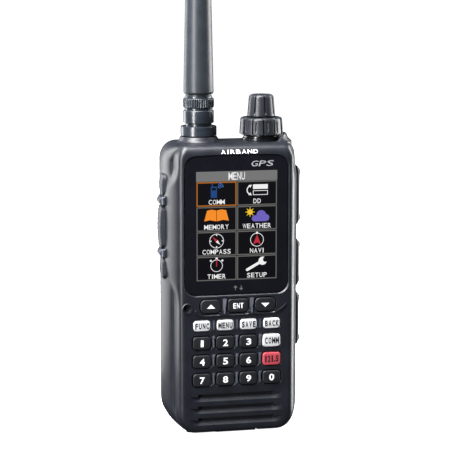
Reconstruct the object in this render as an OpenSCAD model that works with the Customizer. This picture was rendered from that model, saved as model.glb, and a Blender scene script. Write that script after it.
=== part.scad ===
// Handheld airband radio: a two-shell case with a colour display, a 19-key keypad, three side
// keys, three capped jacks, a two-ring top knob, a screwed-on whip antenna and a clip-on battery.
// Frame: +X to the right seen from the front, the face looks along -Y, +Z up.
// The origin is on the ground under the middle of the radio. Sizes are millimetres.

/* [Case] */
// Width of the case across its flanks
case_w = 61.6; // [58:0.2:74]
// Height of the case from its bottom to its top deck
case_h = 130.5; // [128:0.5:157]
// Depth of the case from its face to the back of the battery
case_d = 34.4; // [33:0.2:42]
// Depth of the front shell from the face to the seam
front_d = 22.4; // [21:0.2:26]
// Width of the flat face between its rounded edges
face_w = 51; // [50:0.5:54]
// Wall thickness of the shells
wall = 1.8; // [1.5:0.1:2.2]
// Radius of the upper corners
top_r = 8.5; // [5:0.5:12]
// Radius of the lower corners
bottom_r = 12; // [8:0.5:14]
// Height of the feet
foot_h = 0.9; // [0.6:0.1:2]

/* [Display] */
// Width of the display lens
lens_w = 46.6; // [44:0.2:48]
// Height of the display lens
lens_h = 61.4; // [58:0.2:64]
// Height of the lens's lower edge above the case's bottom
lens_z = 63.4; // [63:0.2:70]
// Width of the picture area
lcd_w = 36.7; // [34:0.1:38]
// Height of the picture area
lcd_h = 49; // [46:0.1:50]

/* [Keys] */
// How far the key tops stand out of the face
key_proud = 0.6; // [0.3:0.1:0.8]
// Gap around each key in its hole
key_gap = 0.3; // [0.2:0.05:0.5]
// How far a key moves when it is pressed
key_travel = 0.6; // [0.4:0.1:0.8]
// Distance between two key columns
key_pitch_x = 10.63; // [10:0.05:11.5]
// Distance between two rows of number keys
key_pitch_z = 8.45; // [8:0.05:9]
// Width of a number key
key_w = 8.3; // [7:0.1:8.6]
// Height of a number key
key_h = 5.9; // [5:0.1:6.2]
// Height of the lowest number row above the case's bottom
key_z = 24.7; // [23.5:0.1:26]

/* [Side keys] */
// Width of the side keys from front to back
side_key_w = 8; // [6:0.2:9]
// Length of the push-to-talk key
ptt_len = 19.4; // [16:0.2:20]
// Length of the two small side keys
small_key_len = 9.8; // [7:0.2:9.8]
// Height of the push-to-talk key's middle above the case's bottom
ptt_z = 92.6; // [88:0.2:95]
// Distance from the push-to-talk key's middle to a small key's middle
small_key_off = 18.8; // [17:0.2:20]
// How far the push-to-talk key moves
ptt_travel = 0.9; // [0.5:0.1:1]
// How far a small side key moves
side_travel = 0.6; // [0.4:0.1:0.8]

/* [Speaker] */
// Width of the speaker slots
slot_w = 35.4; // [30:0.2:38]
// Height of a speaker slot
slot_h = 2; // [1.4:0.1:2.4]
// Distance between two speaker slots
slot_pitch = 5.6; // [5:0.1:6]
// Height of the lowest slot above the case's bottom
slot_z = 6.6; // [6:0.1:8]

/* [Top] */
// Distance from the middle to the antenna's axis
antenna_x = 13.9; // [13:0.1:15]
// Distance from the middle to the knob's axis
knob_x = 14.8; // [13:0.1:16]
// Radius of the lower, fluted ring of the knob
dial_r = 9.9; // [8.2:0.1:10]
// Height of the fluted ring
dial_h = 7.6; // [6:0.1:9]
// Radius of the upper knob at its foot
volume_r = 6.3; // [5.5:0.1:7]
// Height of the upper knob
volume_h = 9.9; // [8:0.1:12]
// Height of the antenna from its foot to its tip
antenna_h = 151; // [100:1:200]
// Radius of the antenna whip at its foot
whip_r = 6.75; // [6:0.05:7]
// Radius of the antenna whip at its tip
whip_tip_r = 3.7; // [3:0.1:5]

/* [Battery and jacks] */
// Height of the battery's top above the case's bottom
battery_h = 96.3; // [90:0.1:104]
// How far the battery tilts out of the case, in degrees
battery_tilt = 10; // [6:1:10]
// Width of the battery latch
latch_w = 19; // [14:0.5:22]
// How far the battery latch slides
latch_travel = 2.2; // [1.5:0.1:2.4]
// Thickness of the rubber jack covers
cover_t = 1.2; // [0.9:0.1:1.4]
// Distance between the two belt clip screws
clip_pitch = 15; // [12:0.5:20]

/* [Hidden] */
gap = 0.3;              // between pieces that move past each other
play = 0.06;            // of a shaft in its hole
seat = 0.02;            // between pieces fixed together
$fn = 48;

front_y = -(case_d + key_proud)/2;
face_y = front_y + key_proud;
back_y = face_y + case_d;
inner_y = face_y + wall;
seam_y = face_y + front_d;
base_z = foot_h;
deck_z = base_z + case_h;
flank_x = case_w/2;
battery_z = base_z + battery_h;
tall = 3*case_h;

// Cross-section of the case
bevel_x = 2.3;          // the side leans out this far over bevel_y
bevel_y = 7.5;
flank_y = 15;           // the flank is upright behind this depth
back_round = 4.5;

// Half width of the case at y, in front of its upright flank
function flank_at(y) = flank_x - (flank_x - face_w/2 - bevel_x)
    *max(0, face_y + flank_y - y)/(flank_y - bevel_y);

// Plate of the rear chassis, which closes the front shell
plate_t = 1.8;
plate_back_y = seam_y + plate_t;
seal_t = 1.1;
seal_w = 1.2;

// Keys: name, column centre, row centre, width, height, corner radius, colour
row_z = [for (i = [0:2]) base_z + key_z + i*key_pitch_z];
function_z = row_z[2] + 7.9;
nav_z = function_z + 8.7;
col_x = [for (i = [0:3]) (i - 1.5)*key_pitch_x];
function_w = 7.7;
function_h = 4.8;
nav_h = 6.2;
nav_gap = 12.4;
nav_x = 0.5;
black = [0.1, 0.105, 0.115];
white = [0.92, 0.93, 0.93];
red = [0.82, 0.1, 0.14];
NUMBER_ROWS = [["key_7", "key_8", "key_9", "key_0"],
               ["key_4", "key_5", "key_6", "key_emergency"],
               ["key_1", "key_2", "key_3", "key_comm"]];
FUNCTION_ROW = ["key_func", "key_menu", "key_save", "key_back"];
NAV_ROW = ["key_up", "key_enter", "key_down"];
function number_color(n) = n == "key_comm" ? white : n == "key_emergency" ? red : black;
KEYS = concat(
    [for (i = [0:2], j = [0:3])
        [NUMBER_ROWS[i][j], col_x[j], row_z[i], key_w, key_h, 1.1, number_color(NUMBER_ROWS[i][j])]],
    [for (j = [0:3]) [FUNCTION_ROW[j], col_x[j], function_z, function_w, function_h, 1, white]],
    [for (j = [0:2]) [NAV_ROW[j], nav_x + (j - 1)*nav_gap, nav_z, 9.4, nav_h, j == 1 ? 1 : 2.2, black]]);
flange_t = 0.8;
flange_rim = 0.7;
flange_y = inner_y + 0.1;
mat_y = flange_y + flange_t + key_travel + gap;
mat_t = 1;

// Display
lens_t = 1.3;
lens_sink = 0.3;
lens_mid_z = base_z + lens_z + lens_h/2;
lcd_z = base_z + 94.2;
lens_frame_y = face_y + lens_sink + lens_t + 0.2;
lens_frame_t = 1.2;
lcd_y = lens_frame_y + lens_frame_t + 0.1;
lcd_t = 2.4;

// Screws of the case
screw_x = face_w/2 - 2.1;
screw_z = [base_z + 9.5, base_z + 62.1];
screw_r = 1;
boss_r = 2.3;

// Circuit board
board_y = max(lcd_y + lcd_t, mat_y + mat_t) + 0.6;
board_t = 1.2;
board_w = 2*(screw_x - boss_r - gap);
board_bottom_z = base_z + 22.6;
board_top_z = deck_z - wall - 0.8;
shield_t = 3.4;
// Shield cans: middle, height of the middle above the case's bottom, width, height
SHIELDS = [[-10.6, 84, 19, 27], [10.2, 60, 18, 30], [-9.6, 46, 20, 24]];

// Speaker and microphone
speaker_w = 38;
speaker_h = 16;
speaker_z = base_z + slot_z + slot_pitch;
mic_x = -(face_w/2 - 3.1);
mic_z = base_z + 57.5;
mic_r = 1.6;

// Side keys, on a raised pad of the left flank
pad_x = flank_x + 1;
pad_front_y = face_y + 8.2;
pad_full_y = face_y + 13.6;
pad_back_y = seam_y - 0.4;
pad_low_z = base_z + ptt_z - small_key_off - small_key_len/2 - 2;
pad_high_z = base_z + ptt_z + small_key_off + small_key_len/2 + 2;
pad_wall = pad_x - flank_x + wall;
side_flange = 0.8;
side_key_y = seam_y - seal_t - gap - side_flange - side_key_w/2;
side_flange_x = pad_x - pad_wall - gap;
// Side keys: middle height, length, travel, how far they stand past the pad
SIDE_KEYS = [[ptt_z, ptt_len, ptt_travel, 1],
             [ptt_z + small_key_off, small_key_len, side_travel, 0.1],
             [ptt_z - small_key_off, small_key_len, side_travel, 0.1]];
switch_x = side_flange_x - flange_t - gap;
switch_t = 2.6;

// Jacks on the right flank: middle height, height of the rubber cover, which turns on a round bead
jack_y = -1;
MIC_JACK = [base_z + 105.4, 26.5];
DATA_JACK = [base_z + 74.6, 21.5];
POWER_JACK = [base_z + 48.6, 24.5];
cover_gap = gap;
cover_front_y = -6.6;
cover_back_y = seam_y - 1.1;
cover_hinge_x = flank_x + cover_gap + cover_t/2;
cover_hinge_y = cover_back_y - 0.4;
cover_lip = 0.5;
cover_bead_r = cover_t/2 + 0.15;
stub_l = 1.4;
jack_r = 3;
jack_mouth_x = flank_at(jack_y - jack_r) - 1.25;
jack_body_x = min(jack_mouth_x - 1, flank_at(jack_y - jack_r) - wall - 0.4);

// Top deck: antenna on the left, knob on the right
boss_h = 2.3;
boss_low_r = 9.1;
boss_high_r = 8.2;
thread_r = 3.1;
thread_h = 7.2;
washer_r = 6;
washer_t = 0.9;
antenna_z = deck_z + 2.6;
collar_r = 8.05;
collar_h = 4.3;
sleeve_r = 6.8;
sleeve_h = 17.6;
whip_z = antenna_z + sleeve_h + 1.2;
tip_z = antenna_z + antenna_h;
pin_r = 0.5;
knob_ring_r = dial_r - 1.3;
knob_ring_h = 2.2;
dial_z = deck_z + knob_ring_h + 0.5;
volume_z = dial_z + dial_h + gap;
bushing_r = 4.5;
bushing_h = 5;
dial_shaft_r = 3;
volume_shaft_r = 1.6;
encoder_w = 13;
encoder_h = 6.5;
encoder_top_z = deck_z - wall - 0.4;
encoder_low_z = encoder_top_z - encoder_h;
guard_in_r = dial_r + 0.4;
guard_out_r = dial_r + 1.7;
guard_h = 3;
dial_flutes = 12;
volume_flutes = 8;

// Battery, hooked at its top and held by the latch at its bottom
battery_y = plate_back_y + gap;
battery_wall = 1.5;
hook_x = 16;
hook_w = 6;
hook_r = 1.1;
hook_y = battery_y + 1.4;
hook_z = battery_z + 0.9;
hook_low = 2;
latch_z = 0.4;
latch_t = 1.3;
latch_front_y = face_y + 3;
latch_back_y = battery_y + 4;
contact_x = [-6, 0, 6];
contact_z = base_z + 14;

FIXED = ["front_shell", "rear_chassis", "case_seal", "case_screws", "display_lens", "lcd_module",
    "keypad_mat", "main_board", "shield_cans", "gps_antenna", "speaker", "speaker_mesh", "microphone",
    "side_switches", "mic_jack", "data_jack", "power_jack", "encoder_body", "knob_collar",
    "antenna_connector", "radio_contacts"];
MOVING = ["ptt_button", "side_button_upper", "side_button_lower", "mic_jack_cover", "data_jack_cover",
    "power_jack_cover", "dial_knob", "dial_shaft", "volume_knob", "volume_shaft", "antenna_seal",
    "antenna_collar", "antenna_sleeve", "antenna_pin", "antenna_whip", "battery_case", "battery_cells",
    "battery_contacts", "battery_latch"];

// ---- Shapes shared by several pieces ----

// A flat shape in (x, z), made solid from y0 to y1
module along_y(y0, y1) {
    translate([0, y1, 0]) rotate([90, 0, 0]) linear_extrude(height = y1 - y0) children();
}

// A flat shape in (y, z), made solid from x0 to x1
module along_x(x0, x1) {
    translate([x0, 0, 0]) rotate([90, 0, 90]) linear_extrude(height = x1 - x0) children();
}

module rounded_rect(w, h, r) {
    square([w - 2*r, h], center = true);
    square([w, h - 2*r], center = true);
    for (i = [-1, 1], j = [-1, 1]) translate([i*(w/2 - r), j*(h/2 - r)]) circle(r);
}

module block(x, y, z) {
    translate([x[0], y[0], z[0]]) cube([x[1] - x[0], y[1] - y[0], z[1] - z[0]]);
}

function mirrored(points) = [for (i = [len(points) - 1:-1:0]) [-points[i][0], points[i][1]]];

// Right half of the case's cross-section, taken in by t
function section_half(t) = [
    [face_w/2 - 1 - t, face_y + t],
    [face_w/2 + 0.4 - t, face_y + 1.3],
    [face_w/2 + bevel_x - t, face_y + bevel_y],
    [flank_x - t, face_y + flank_y],
    [flank_x - t, seam_y + 2],
    [flank_x - 0.8 - t, back_y - 5],
    [flank_x - back_round - t, back_y - t]];

module section(t) {
    polygon(concat(section_half(t), mirrored(section_half(t))));
}

// Front outline of the case, taken in by t
module outline(t) {
    w = case_w - 2*t;
    h = case_h - 2*t;
    rt = top_r - t;
    rb = bottom_r - t;
    translate([0, base_z + t]) {
        translate([-w/2, rb]) square([w, h - rb - rt]);
        translate([-w/2 + rt, rb]) square([w - 2*rt, h - rb]);
        translate([-w/2 + rb, 0]) square([w - 2*rb, h - rt]);
        for (i = [-1, 1]) {
            translate([i*(w/2 - rb), rb]) circle(rb);
            translate([i*(w/2 - rt), h - rt]) circle(rt);
        }
    }
}

// Side view of the case, taken in by t
module side_view(t) {
    polygon([[face_y + t, base_z + 4], [face_y + 2 + t, base_z + t], [back_y - 2 - t, base_z + t],
        [back_y - t, base_z + 2.5], [back_y - t, deck_z - 4], [back_y - 3 - t, deck_z - t],
        [face_y + 4 + t, deck_z - t], [face_y + 1 + t, deck_z - 1.8], [face_y + t, deck_z - 4.5]]);
}

// The whole case as one solid, taken in by t, or grown by it where t is negative
module case_solid(t) {
    intersection() {
        translate([0, 0, -case_h]) linear_extrude(height = tall) section(t);
        along_y(-tall/2, tall/2) outline(t);
        along_x(-tall/2, tall/2) side_view(t);
    }
}

module upright(x, z, r, h, y = 0) {
    translate([x, y, z]) cylinder(h = h, r = r);
}

module cone(x, z, h, r1, r2) {
    translate([x, 0, z]) cylinder(h = h, r1 = r1, r2 = r2);
}

// ---- Front shell ----

module switch_pad() {
    intersection() {
        translate([0, 0, pad_low_z]) linear_extrude(height = pad_high_z - pad_low_z)
            polygon([[-flank_x + 3.4, pad_front_y], [-pad_x, pad_full_y], [-pad_x, pad_back_y - 1],
                [-pad_x + 1, pad_back_y], [-pad_x + pad_wall, pad_back_y],
                [-pad_x + pad_wall, pad_full_y + 0.5]]);
        along_x(-tall/2, tall/2) translate([(pad_front_y + pad_back_y)/2, (pad_low_z + pad_high_z)/2])
            rounded_rect(pad_back_y - pad_front_y + 1, pad_high_z - pad_low_z, 4);
    }
}

module knob_guard() {
    intersection() {
        difference() {
            upright(knob_x, deck_z - wall, guard_out_r, wall + guard_h);
            upright(knob_x, deck_z - wall - 1, guard_in_r, wall + guard_h + 2);
        }
        block([knob_x + guard_in_r*0.72, tall], [-8, 5], [0, tall]);
    }
}

module lens_window(grow) {
    translate([0, lens_mid_z]) rounded_rect(lens_w + 2*grow, lens_h + 2*grow, 5 + grow);
}

module front_shell() {
    color([0.2, 0.215, 0.24]) difference() {
        union() {
            intersection() {
                difference() {
                    case_solid(0);
                    case_solid(wall);
                }
                block([-tall, tall], [-tall, seam_y], [-tall, tall]);
            }
            switch_pad();
            knob_guard();
            cone(-antenna_x, deck_z, boss_h, boss_low_r, boss_high_r);
            along_y(inner_y - 0.2, lens_frame_y + lens_frame_t) lens_window(1.2);
            for (i = [-1, 1], z = screw_z) along_y(inner_y - 0.2, seam_y)
                translate([i*screw_x, z]) circle(boss_r);
            for (i = [-1, 1]) upright(i*20.2, 0, 1.6, base_z + wall, face_y + 7.4);
        }
        along_y(front_y - 1, lens_frame_y) lens_window(0.15);
        along_y(front_y, lens_frame_y + lens_frame_t + 1) translate([0, lcd_z])
            square([lcd_w + 3, lcd_h + 3], center = true);
        for (k = KEYS) along_y(front_y - 1, inner_y + 1) translate([k[1], k[2]])
            rounded_rect(k[3] + 2*key_gap, k[4] + 2*key_gap, k[5] + key_gap);
        for (i = [0:2]) along_y(front_y - 1, inner_y + 1)
            translate([0, base_z + slot_z + i*slot_pitch]) rounded_rect(slot_w, slot_h, 0.6);
        along_y(front_y - 1, inner_y + 1) translate([mic_x, mic_z]) circle(0.8);
        for (i = [-1, 1], z = screw_z) along_y(inner_y + 2, seam_y)
            translate([i*screw_x, z]) circle(screw_r + seat);
        for (s = SIDE_KEYS) along_x(-pad_x - 1, -pad_x + pad_wall + 3)
            translate([side_key_y, base_z + s[0]]) rounded_rect(side_key_w + 2*key_gap, s[1] + 2*key_gap, 3);
        block([-pad_x + pad_wall, -flank_x + wall + 4],
            [side_key_y - side_key_w/2 - side_flange - gap, seam_y + 1], [pad_low_z, pad_high_z]);
        jack_round(MIC_JACK, 3, 8, jack_r + 0.2);
        along_x(jack_mouth_x - 1, flank_x + 3) translate([jack_y, DATA_JACK[0]]) rounded_rect(5, 9.6, 1);
        jack_round(POWER_JACK, 3, 8, jack_r + 0.2);
        upright(-antenna_x, deck_z - wall - 1, thread_r + 0.3, 10);
        upright(-antenna_x, deck_z + boss_h - 0.9, washer_r + 0.3, 10);
        upright(knob_x, deck_z - wall - 1, bushing_r + 0.2, 10);
        block([-latch_w/2 - gap, latch_w/2 + gap], [face_y + 0.2, seam_y + 1], [0, latch_z + latch_t + gap]);
    }
}

// ---- Rear chassis, seal and screws ----

module rear_chassis() {
    clip_z = deck_z - 16;
    floor_t = 3.4;
    color([0.13, 0.14, 0.16]) difference() {
        intersection() {
            case_solid(0);
            union() {
                block([-tall, tall], [seam_y + seat, plate_back_y], [-tall, tall]);
                block([-tall, tall], [seam_y + seat, tall], [battery_z + gap + 0.1, tall]);
            }
        }
        difference() {
            intersection() {
                case_solid(wall);
                block([-tall, tall], [seam_y - 1, tall], [battery_z + floor_t, tall]);
            }
            for (i = [-1, 1]) along_y(back_y - 7, back_y) translate([i*clip_pitch/2, clip_z]) circle(3);
        }
        for (i = [-1, 1]) block([i*hook_x - hook_w/2 - gap, i*hook_x + hook_w/2 + gap],
            [plate_back_y - 0.2, hook_y + hook_r + 0.5], [battery_z, hook_z + hook_r + gap]);
        for (i = [-1, 1], z = screw_z) {
            along_y(seam_y - 1, plate_back_y + 1) translate([i*screw_x, z]) circle(screw_r + 0.1);
            along_y(plate_back_y - 1.1, plate_back_y + 1) translate([i*screw_x, z]) circle(1.95);
        }
        for (i = [-1, 1]) along_y(back_y - 5, back_y + 1) translate([i*clip_pitch/2, clip_z]) circle(1.25);
        for (x = contact_x) along_y(seam_y - 1, plate_back_y + 1)
            translate([x, contact_z]) square([3.4, 5], center = true);
        block([-latch_w/2 - gap, latch_w/2 + gap], [seam_y - 1, plate_back_y + 1],
            [0, latch_z + latch_t + gap]);
    }
}

module case_seal() {
    color([0.05, 0.05, 0.05]) intersection() {
        difference() {
            case_solid(wall + 0.1);
            case_solid(wall + 0.1 + seal_w);
        }
        block([-tall, tall], [seam_y - seal_t, seam_y], [-tall, deck_z - 8]);
    }
}

module case_screws() {
    head_y = plate_back_y - 1.05;
    color("silver") for (i = [-1, 1], z = screw_z) {
        along_y(head_y - 8, head_y + 0.1) translate([i*screw_x, z]) circle(screw_r);
        difference() {
            along_y(head_y, head_y + 0.95) translate([i*screw_x, z]) circle(1.85);
            for (a = [0, 90]) along_y(head_y + 0.45, head_y + 2) translate([i*screw_x, z]) rotate(a)
                square([2.2, 0.5], center = true);
        }
    }
}

// ---- Display and keypad ----

module display_lens() {
    color([0.02, 0.02, 0.03]) along_y(face_y + lens_sink, face_y + lens_sink + lens_t) lens_window(0);
}

module lcd_module() {
    color([0.3, 0.32, 0.36]) {
        along_y(lcd_y, lcd_y + lcd_t) translate([0, lcd_z]) rounded_rect(lcd_w + 4.4, lcd_h + 6, 0.6);
    }
}

module keypad_mat() {
    mat_low = row_z[0] - key_h/2 - 1;
    mat_high = nav_z + nav_h/2 + 1.2;
    color([0.25, 0.25, 0.27]) {
        along_y(mat_y, mat_y + mat_t) translate([0, (mat_low + mat_high)/2])
            rounded_rect(board_w, mat_high - mat_low, 1.5);
        for (k = KEYS) along_y(mat_y + mat_t, mat_y + mat_t + 0.4) translate([k[1], k[2]]) circle(1.6);
    }
}

module key_cap(k) {
    edge = 0.3;
    color(k[6]) {
        along_y(front_y, front_y + 2*edge) translate([k[1], k[2]])
            rounded_rect(k[3] - 2*edge, k[4] - 2*edge, k[5] - edge);
        along_y(front_y + edge, flange_y) translate([k[1], k[2]]) rounded_rect(k[3], k[4], k[5]);
        along_y(flange_y, flange_y + flange_t) translate([k[1], k[2]])
            rounded_rect(k[3] + 2*flange_rim, k[4] + 2*flange_rim, k[5]);
    }
}

// ---- Boards and what is on them ----

module main_board() {
    color([0.05, 0.3, 0.2]) difference() {
        along_y(board_y, board_y + board_t) translate([0, (board_bottom_z + board_top_z)/2])
            rounded_rect(board_w, board_top_z - board_bottom_z, 2);
        for (i = [-1, 1], z = [board_bottom_z + 4, board_top_z - 4])
            along_y(board_y - 1, board_y + board_t + 1) translate([i*(board_w/2 - 3), z]) circle(1.1);
    }
}

module shield_cans() {
    color("silver") for (s = SHIELDS) along_y(board_y + board_t, board_y + board_t + shield_t)
        translate([s[0], base_z + s[1]]) rounded_rect(s[2], s[3], 0.6);
}

module gps_antenna() {
    color([0.75, 0.7, 0.6]) along_y(board_y + board_t, board_y + board_t + 4)
        translate([0, board_top_z - 8]) rounded_rect(11.5, 11.5, 0.8);
}

module speaker() {
    color([0.16, 0.16, 0.17]) {
        along_y(inner_y + 0.7, inner_y + 2.7) translate([0, speaker_z]) rounded_rect(speaker_w, speaker_h, 6);
        along_y(inner_y + 2.7, inner_y + 6) translate([0, speaker_z]) rounded_rect(20, 13, 5);
    }
}

module speaker_mesh() {
    color([0.03, 0.03, 0.03]) along_y(inner_y + 0.1, inner_y + 0.6) translate([0, speaker_z])
        rounded_rect(speaker_w + 2, speaker_h + 0.4, 4);
}

module microphone() {
    color([0.5, 0.5, 0.5]) along_y(inner_y + 0.1, inner_y + 1.6) translate([mic_x, mic_z]) circle(mic_r);
}

// ---- Side keys ----

module side_key(s) {
    out_x = -pad_x - s[3];
    color([0.11, 0.115, 0.13]) {
        along_x(out_x, out_x + 1) translate([side_key_y, base_z + s[0]])
            rounded_rect(side_key_w - 0.8, s[1] - 0.8, 2.3);
        along_x(out_x + 0.4, -side_flange_x) translate([side_key_y, base_z + s[0]])
            rounded_rect(side_key_w, s[1], 2.7);
        along_x(-side_flange_x, -side_flange_x + flange_t) translate([side_key_y, base_z + s[0]])
            rounded_rect(side_key_w + 2*side_flange, s[1] + 2*side_flange, 2.7);
    }
}

module ptt_button() { side_key(SIDE_KEYS[0]); }
module side_button_upper() { side_key(SIDE_KEYS[1]); }
module side_button_lower() { side_key(SIDE_KEYS[2]); }

module side_switches() {
    strip_x = -switch_x + ptt_travel;
    color([0.55, 0.55, 0.5]) {
        for (s = SIDE_KEYS) block([-switch_x + s[2], strip_x + switch_t],
            [side_key_y - 1.8, side_key_y + 1.8], [base_z + s[0] - 2.2, base_z + s[0] + 2.2]);
        block([strip_x + switch_t - 0.8, strip_x + switch_t], [side_key_y - 3, side_key_y + 3],
            [pad_low_z + 2, pad_high_z - 2]);
    }
}

// ---- Jacks and their covers ----

module cover_body(j) {
    color([0.1, 0.105, 0.115]) {
        intersection() {
            difference() {
                case_solid(-cover_gap - cover_t);
                case_solid(-cover_gap);
            }
            along_x(0, tall) translate([(cover_front_y + cover_back_y)/2, j[0]])
                rounded_rect(cover_back_y - cover_front_y, j[1], 2);
        }
        for (i = [-1, 1]) along_x(flank_x + cover_gap + 0.2, flank_x + cover_gap + cover_t + cover_lip)
            translate([jack_y, j[0] + i*(j[1]/2 - 2.6)]) rounded_rect(5.6, 3.6, 1.5);
        upright(cover_hinge_x, j[0] - j[1]/2 + 2, cover_bead_r, j[1] - 4, cover_hinge_y);
    }
}

module cover_stub(j, r) {
    color([0.1, 0.105, 0.115]) translate([flank_x + cover_gap + 0.5 - stub_l - 0.5, jack_y, j[0]])
        rotate([0, 90, 0]) cylinder(h = stub_l + 0.5, r = r);
}

module jack_cover(j, stub_r) {
    cover_body(j);
    cover_stub(j, stub_r);
}

module mic_jack_cover() { jack_cover(MIC_JACK, 2.2); }
module data_jack_cover() { jack_cover(DATA_JACK, 1.7); }
module power_jack_cover() { jack_cover(POWER_JACK, 2.2); }

// A round of a jack, from depth behind the jack's mouth outwards
module jack_round(j, depth, h, r) {
    translate([jack_mouth_x - depth, jack_y, j[0]]) rotate([0, 90, 0]) cylinder(h = h, r = r);
}

// The collar of a round jack, out of its body to 0.5 past its mouth
module jack_mouth(j) {
    depth = jack_mouth_x - jack_body_x + 0.5;
    jack_round(j, depth, depth + 0.5, jack_r);
}

module mic_jack() {
    color([0.08, 0.08, 0.08]) difference() {
        union() {
            block([jack_mouth_x - 15, jack_body_x], [jack_y - jack_r, jack_y + jack_r],
                [MIC_JACK[0] - 3.4, MIC_JACK[0] + 3.4]);
            jack_mouth(MIC_JACK);
        }
        jack_round(MIC_JACK, 13, 20, 1.8);
    }
}

module data_jack() {
    color("silver") difference() {
        along_x(jack_mouth_x - 8, jack_mouth_x)
            translate([jack_y, DATA_JACK[0]]) rounded_rect(3.8, 8, 0.8);
        along_x(jack_mouth_x - 7, jack_mouth_x + 1)
            translate([jack_y, DATA_JACK[0]]) rounded_rect(2.9, 7.1, 0.5);
    }
}

module power_jack() {
    color([0.08, 0.08, 0.08]) {
        difference() {
            union() {
                block([jack_mouth_x - 11, jack_body_x], [jack_y - jack_r, jack_y + jack_r],
                    [POWER_JACK[0] - 3.2, POWER_JACK[0] + 3.2]);
                jack_mouth(POWER_JACK);
            }
            jack_round(POWER_JACK, 10, 20, 2.1);
        }
        jack_round(POWER_JACK, 10.5, 9.5, 0.85);
    }
}

// ---- Knobs ----

module encoder_body() {
    color([0.5, 0.52, 0.55]) difference() {
        union() {
            translate([knob_x, 0, encoder_low_z + encoder_h/2])
                cube([encoder_w, encoder_w, encoder_h], center = true);
            upright(knob_x, encoder_top_z - 0.1, bushing_r, bushing_h);
        }
        upright(knob_x, encoder_low_z + 1, dial_shaft_r + play, 30);
    }
}

module knob_collar() {
    color([0.04, 0.045, 0.05]) difference() {
        upright(knob_x, deck_z + seat, knob_ring_r, knob_ring_h - seat);
        upright(knob_x, deck_z - 1, bushing_r + seat, 10);
    }
}

module dial_knob() {
    color([0.1, 0.11, 0.13]) difference() {
        union() {
            cone(knob_x, dial_z, dial_h - 1, dial_r, dial_r - 0.4);
            cone(knob_x, dial_z + dial_h - 1, 1, dial_r - 0.4, dial_r - 1.4);
        }
        for (i = [0:dial_flutes - 1]) translate([knob_x, 0, 0]) rotate(i*360/dial_flutes + 25)
            translate([dial_r + 0.3, 0, dial_z - 1]) cylinder(h = dial_h + 2, r = 0.8);
        upright(knob_x, dial_z - 1, dial_shaft_r + seat, dial_h + 2);
        upright(knob_x, dial_z - 1, bushing_r + 0.5, 2.4);
    }
}

module dial_shaft() {
    color("silver") difference() {
        upright(knob_x, encoder_low_z + 1.5, dial_shaft_r, dial_z + dial_h - gap - encoder_low_z - 1.5);
        upright(knob_x, encoder_low_z, volume_shaft_r + play, 40);
    }
}

module volume_knob() {
    color([0.1, 0.11, 0.13]) difference() {
        union() {
            cone(knob_x, volume_z, volume_h - 1, volume_r, volume_r - 0.7);
            cone(knob_x, volume_z + volume_h - 1, 1, volume_r - 0.7, volume_r - 1.6);
        }
        for (i = [0:volume_flutes - 1]) translate([knob_x, 0, 0]) rotate(i*360/volume_flutes + 5)
            translate([volume_r + 0.2, 0, volume_z + 1.2]) cylinder(h = volume_h, r = 1.1);
        upright(knob_x, volume_z - 1, volume_shaft_r + seat, volume_h - 0.8);
    }
}

module volume_shaft() {
    color("silver") upright(knob_x, encoder_low_z + 1.3, volume_shaft_r,
        volume_z + volume_h - 2.2 - encoder_low_z - 1.3);
}

// ---- Antenna ----

module antenna_connector() {
    color([0.75, 0.62, 0.3]) difference() {
        union() {
            translate([-antenna_x, 0, deck_z - wall - 2.7]) cube([8.6, 8.6, 5], center = true);
            upright(-antenna_x, deck_z - wall - 1, thread_r, wall + 1 + thread_h);
        }
        upright(-antenna_x, deck_z + thread_h - 6, pin_r + 0.12, 10);
    }
}

module antenna_seal() {
    color([0.03, 0.03, 0.03]) difference() {
        upright(-antenna_x, antenna_z - 0.15 - washer_t, washer_r, washer_t);
        upright(-antenna_x, antenna_z - 3, thread_r + 0.3, 5);
    }
}

module antenna_collar() {
    color([0.13, 0.15, 0.18]) difference() {
        union() {
            upright(-antenna_x, antenna_z, collar_r, collar_h - 0.4);
            cone(-antenna_x, antenna_z + collar_h - 0.4, 0.4, collar_r, collar_r - 0.4);
        }
        upright(-antenna_x, antenna_z - 1, sleeve_r - 1 + seat, collar_h + 2);
    }
}

module antenna_sleeve() {
    knurl_z = antenna_z + sleeve_h - 5;
    color([0.12, 0.14, 0.16]) difference() {
        union() {
            upright(-antenna_x, antenna_z, sleeve_r - 1, sleeve_h);
            upright(-antenna_x, antenna_z + collar_h + 1.4, sleeve_r, 5.8);
            upright(-antenna_x, knurl_z, sleeve_r + 0.15, 4);
        }
        for (i = [0:35]) translate([-antenna_x, 0, 0]) rotate(i*10)
            translate([sleeve_r + 0.4, 0, knurl_z - 0.5]) cylinder(h = 5, r = 0.45, $fn = 4);
        upright(-antenna_x, antenna_z - 1, thread_r + play, thread_h - 1);
        upright(-antenna_x, antenna_z, pin_r + seat, sleeve_h);
    }
}

module antenna_pin() {
    color([0.8, 0.65, 0.25]) upright(-antenna_x, antenna_z + 1, pin_r, sleeve_h - 1.2);
}

module antenna_whip() {
    color([0.1, 0.11, 0.12]) {
        upright(-antenna_x, antenna_z + sleeve_h + seat, whip_r - 1, 1.5);
        cone(-antenna_x, whip_z, tip_z - whip_tip_r - whip_z, whip_r, whip_tip_r);
        translate([-antenna_x, 0, tip_z - whip_tip_r]) sphere(r = whip_tip_r);
    }
}

// ---- Battery and latch ----

module battery_block(t) {
    intersection() {
        case_solid(t);
        along_x(-tall, tall) polygon([[battery_y + t, base_z - 5], [tall, base_z - 5],
            [tall, battery_z - t - (tall - battery_y)*tan(battery_tilt)], [battery_y + t, battery_z - t]]);
    }
}

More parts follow.
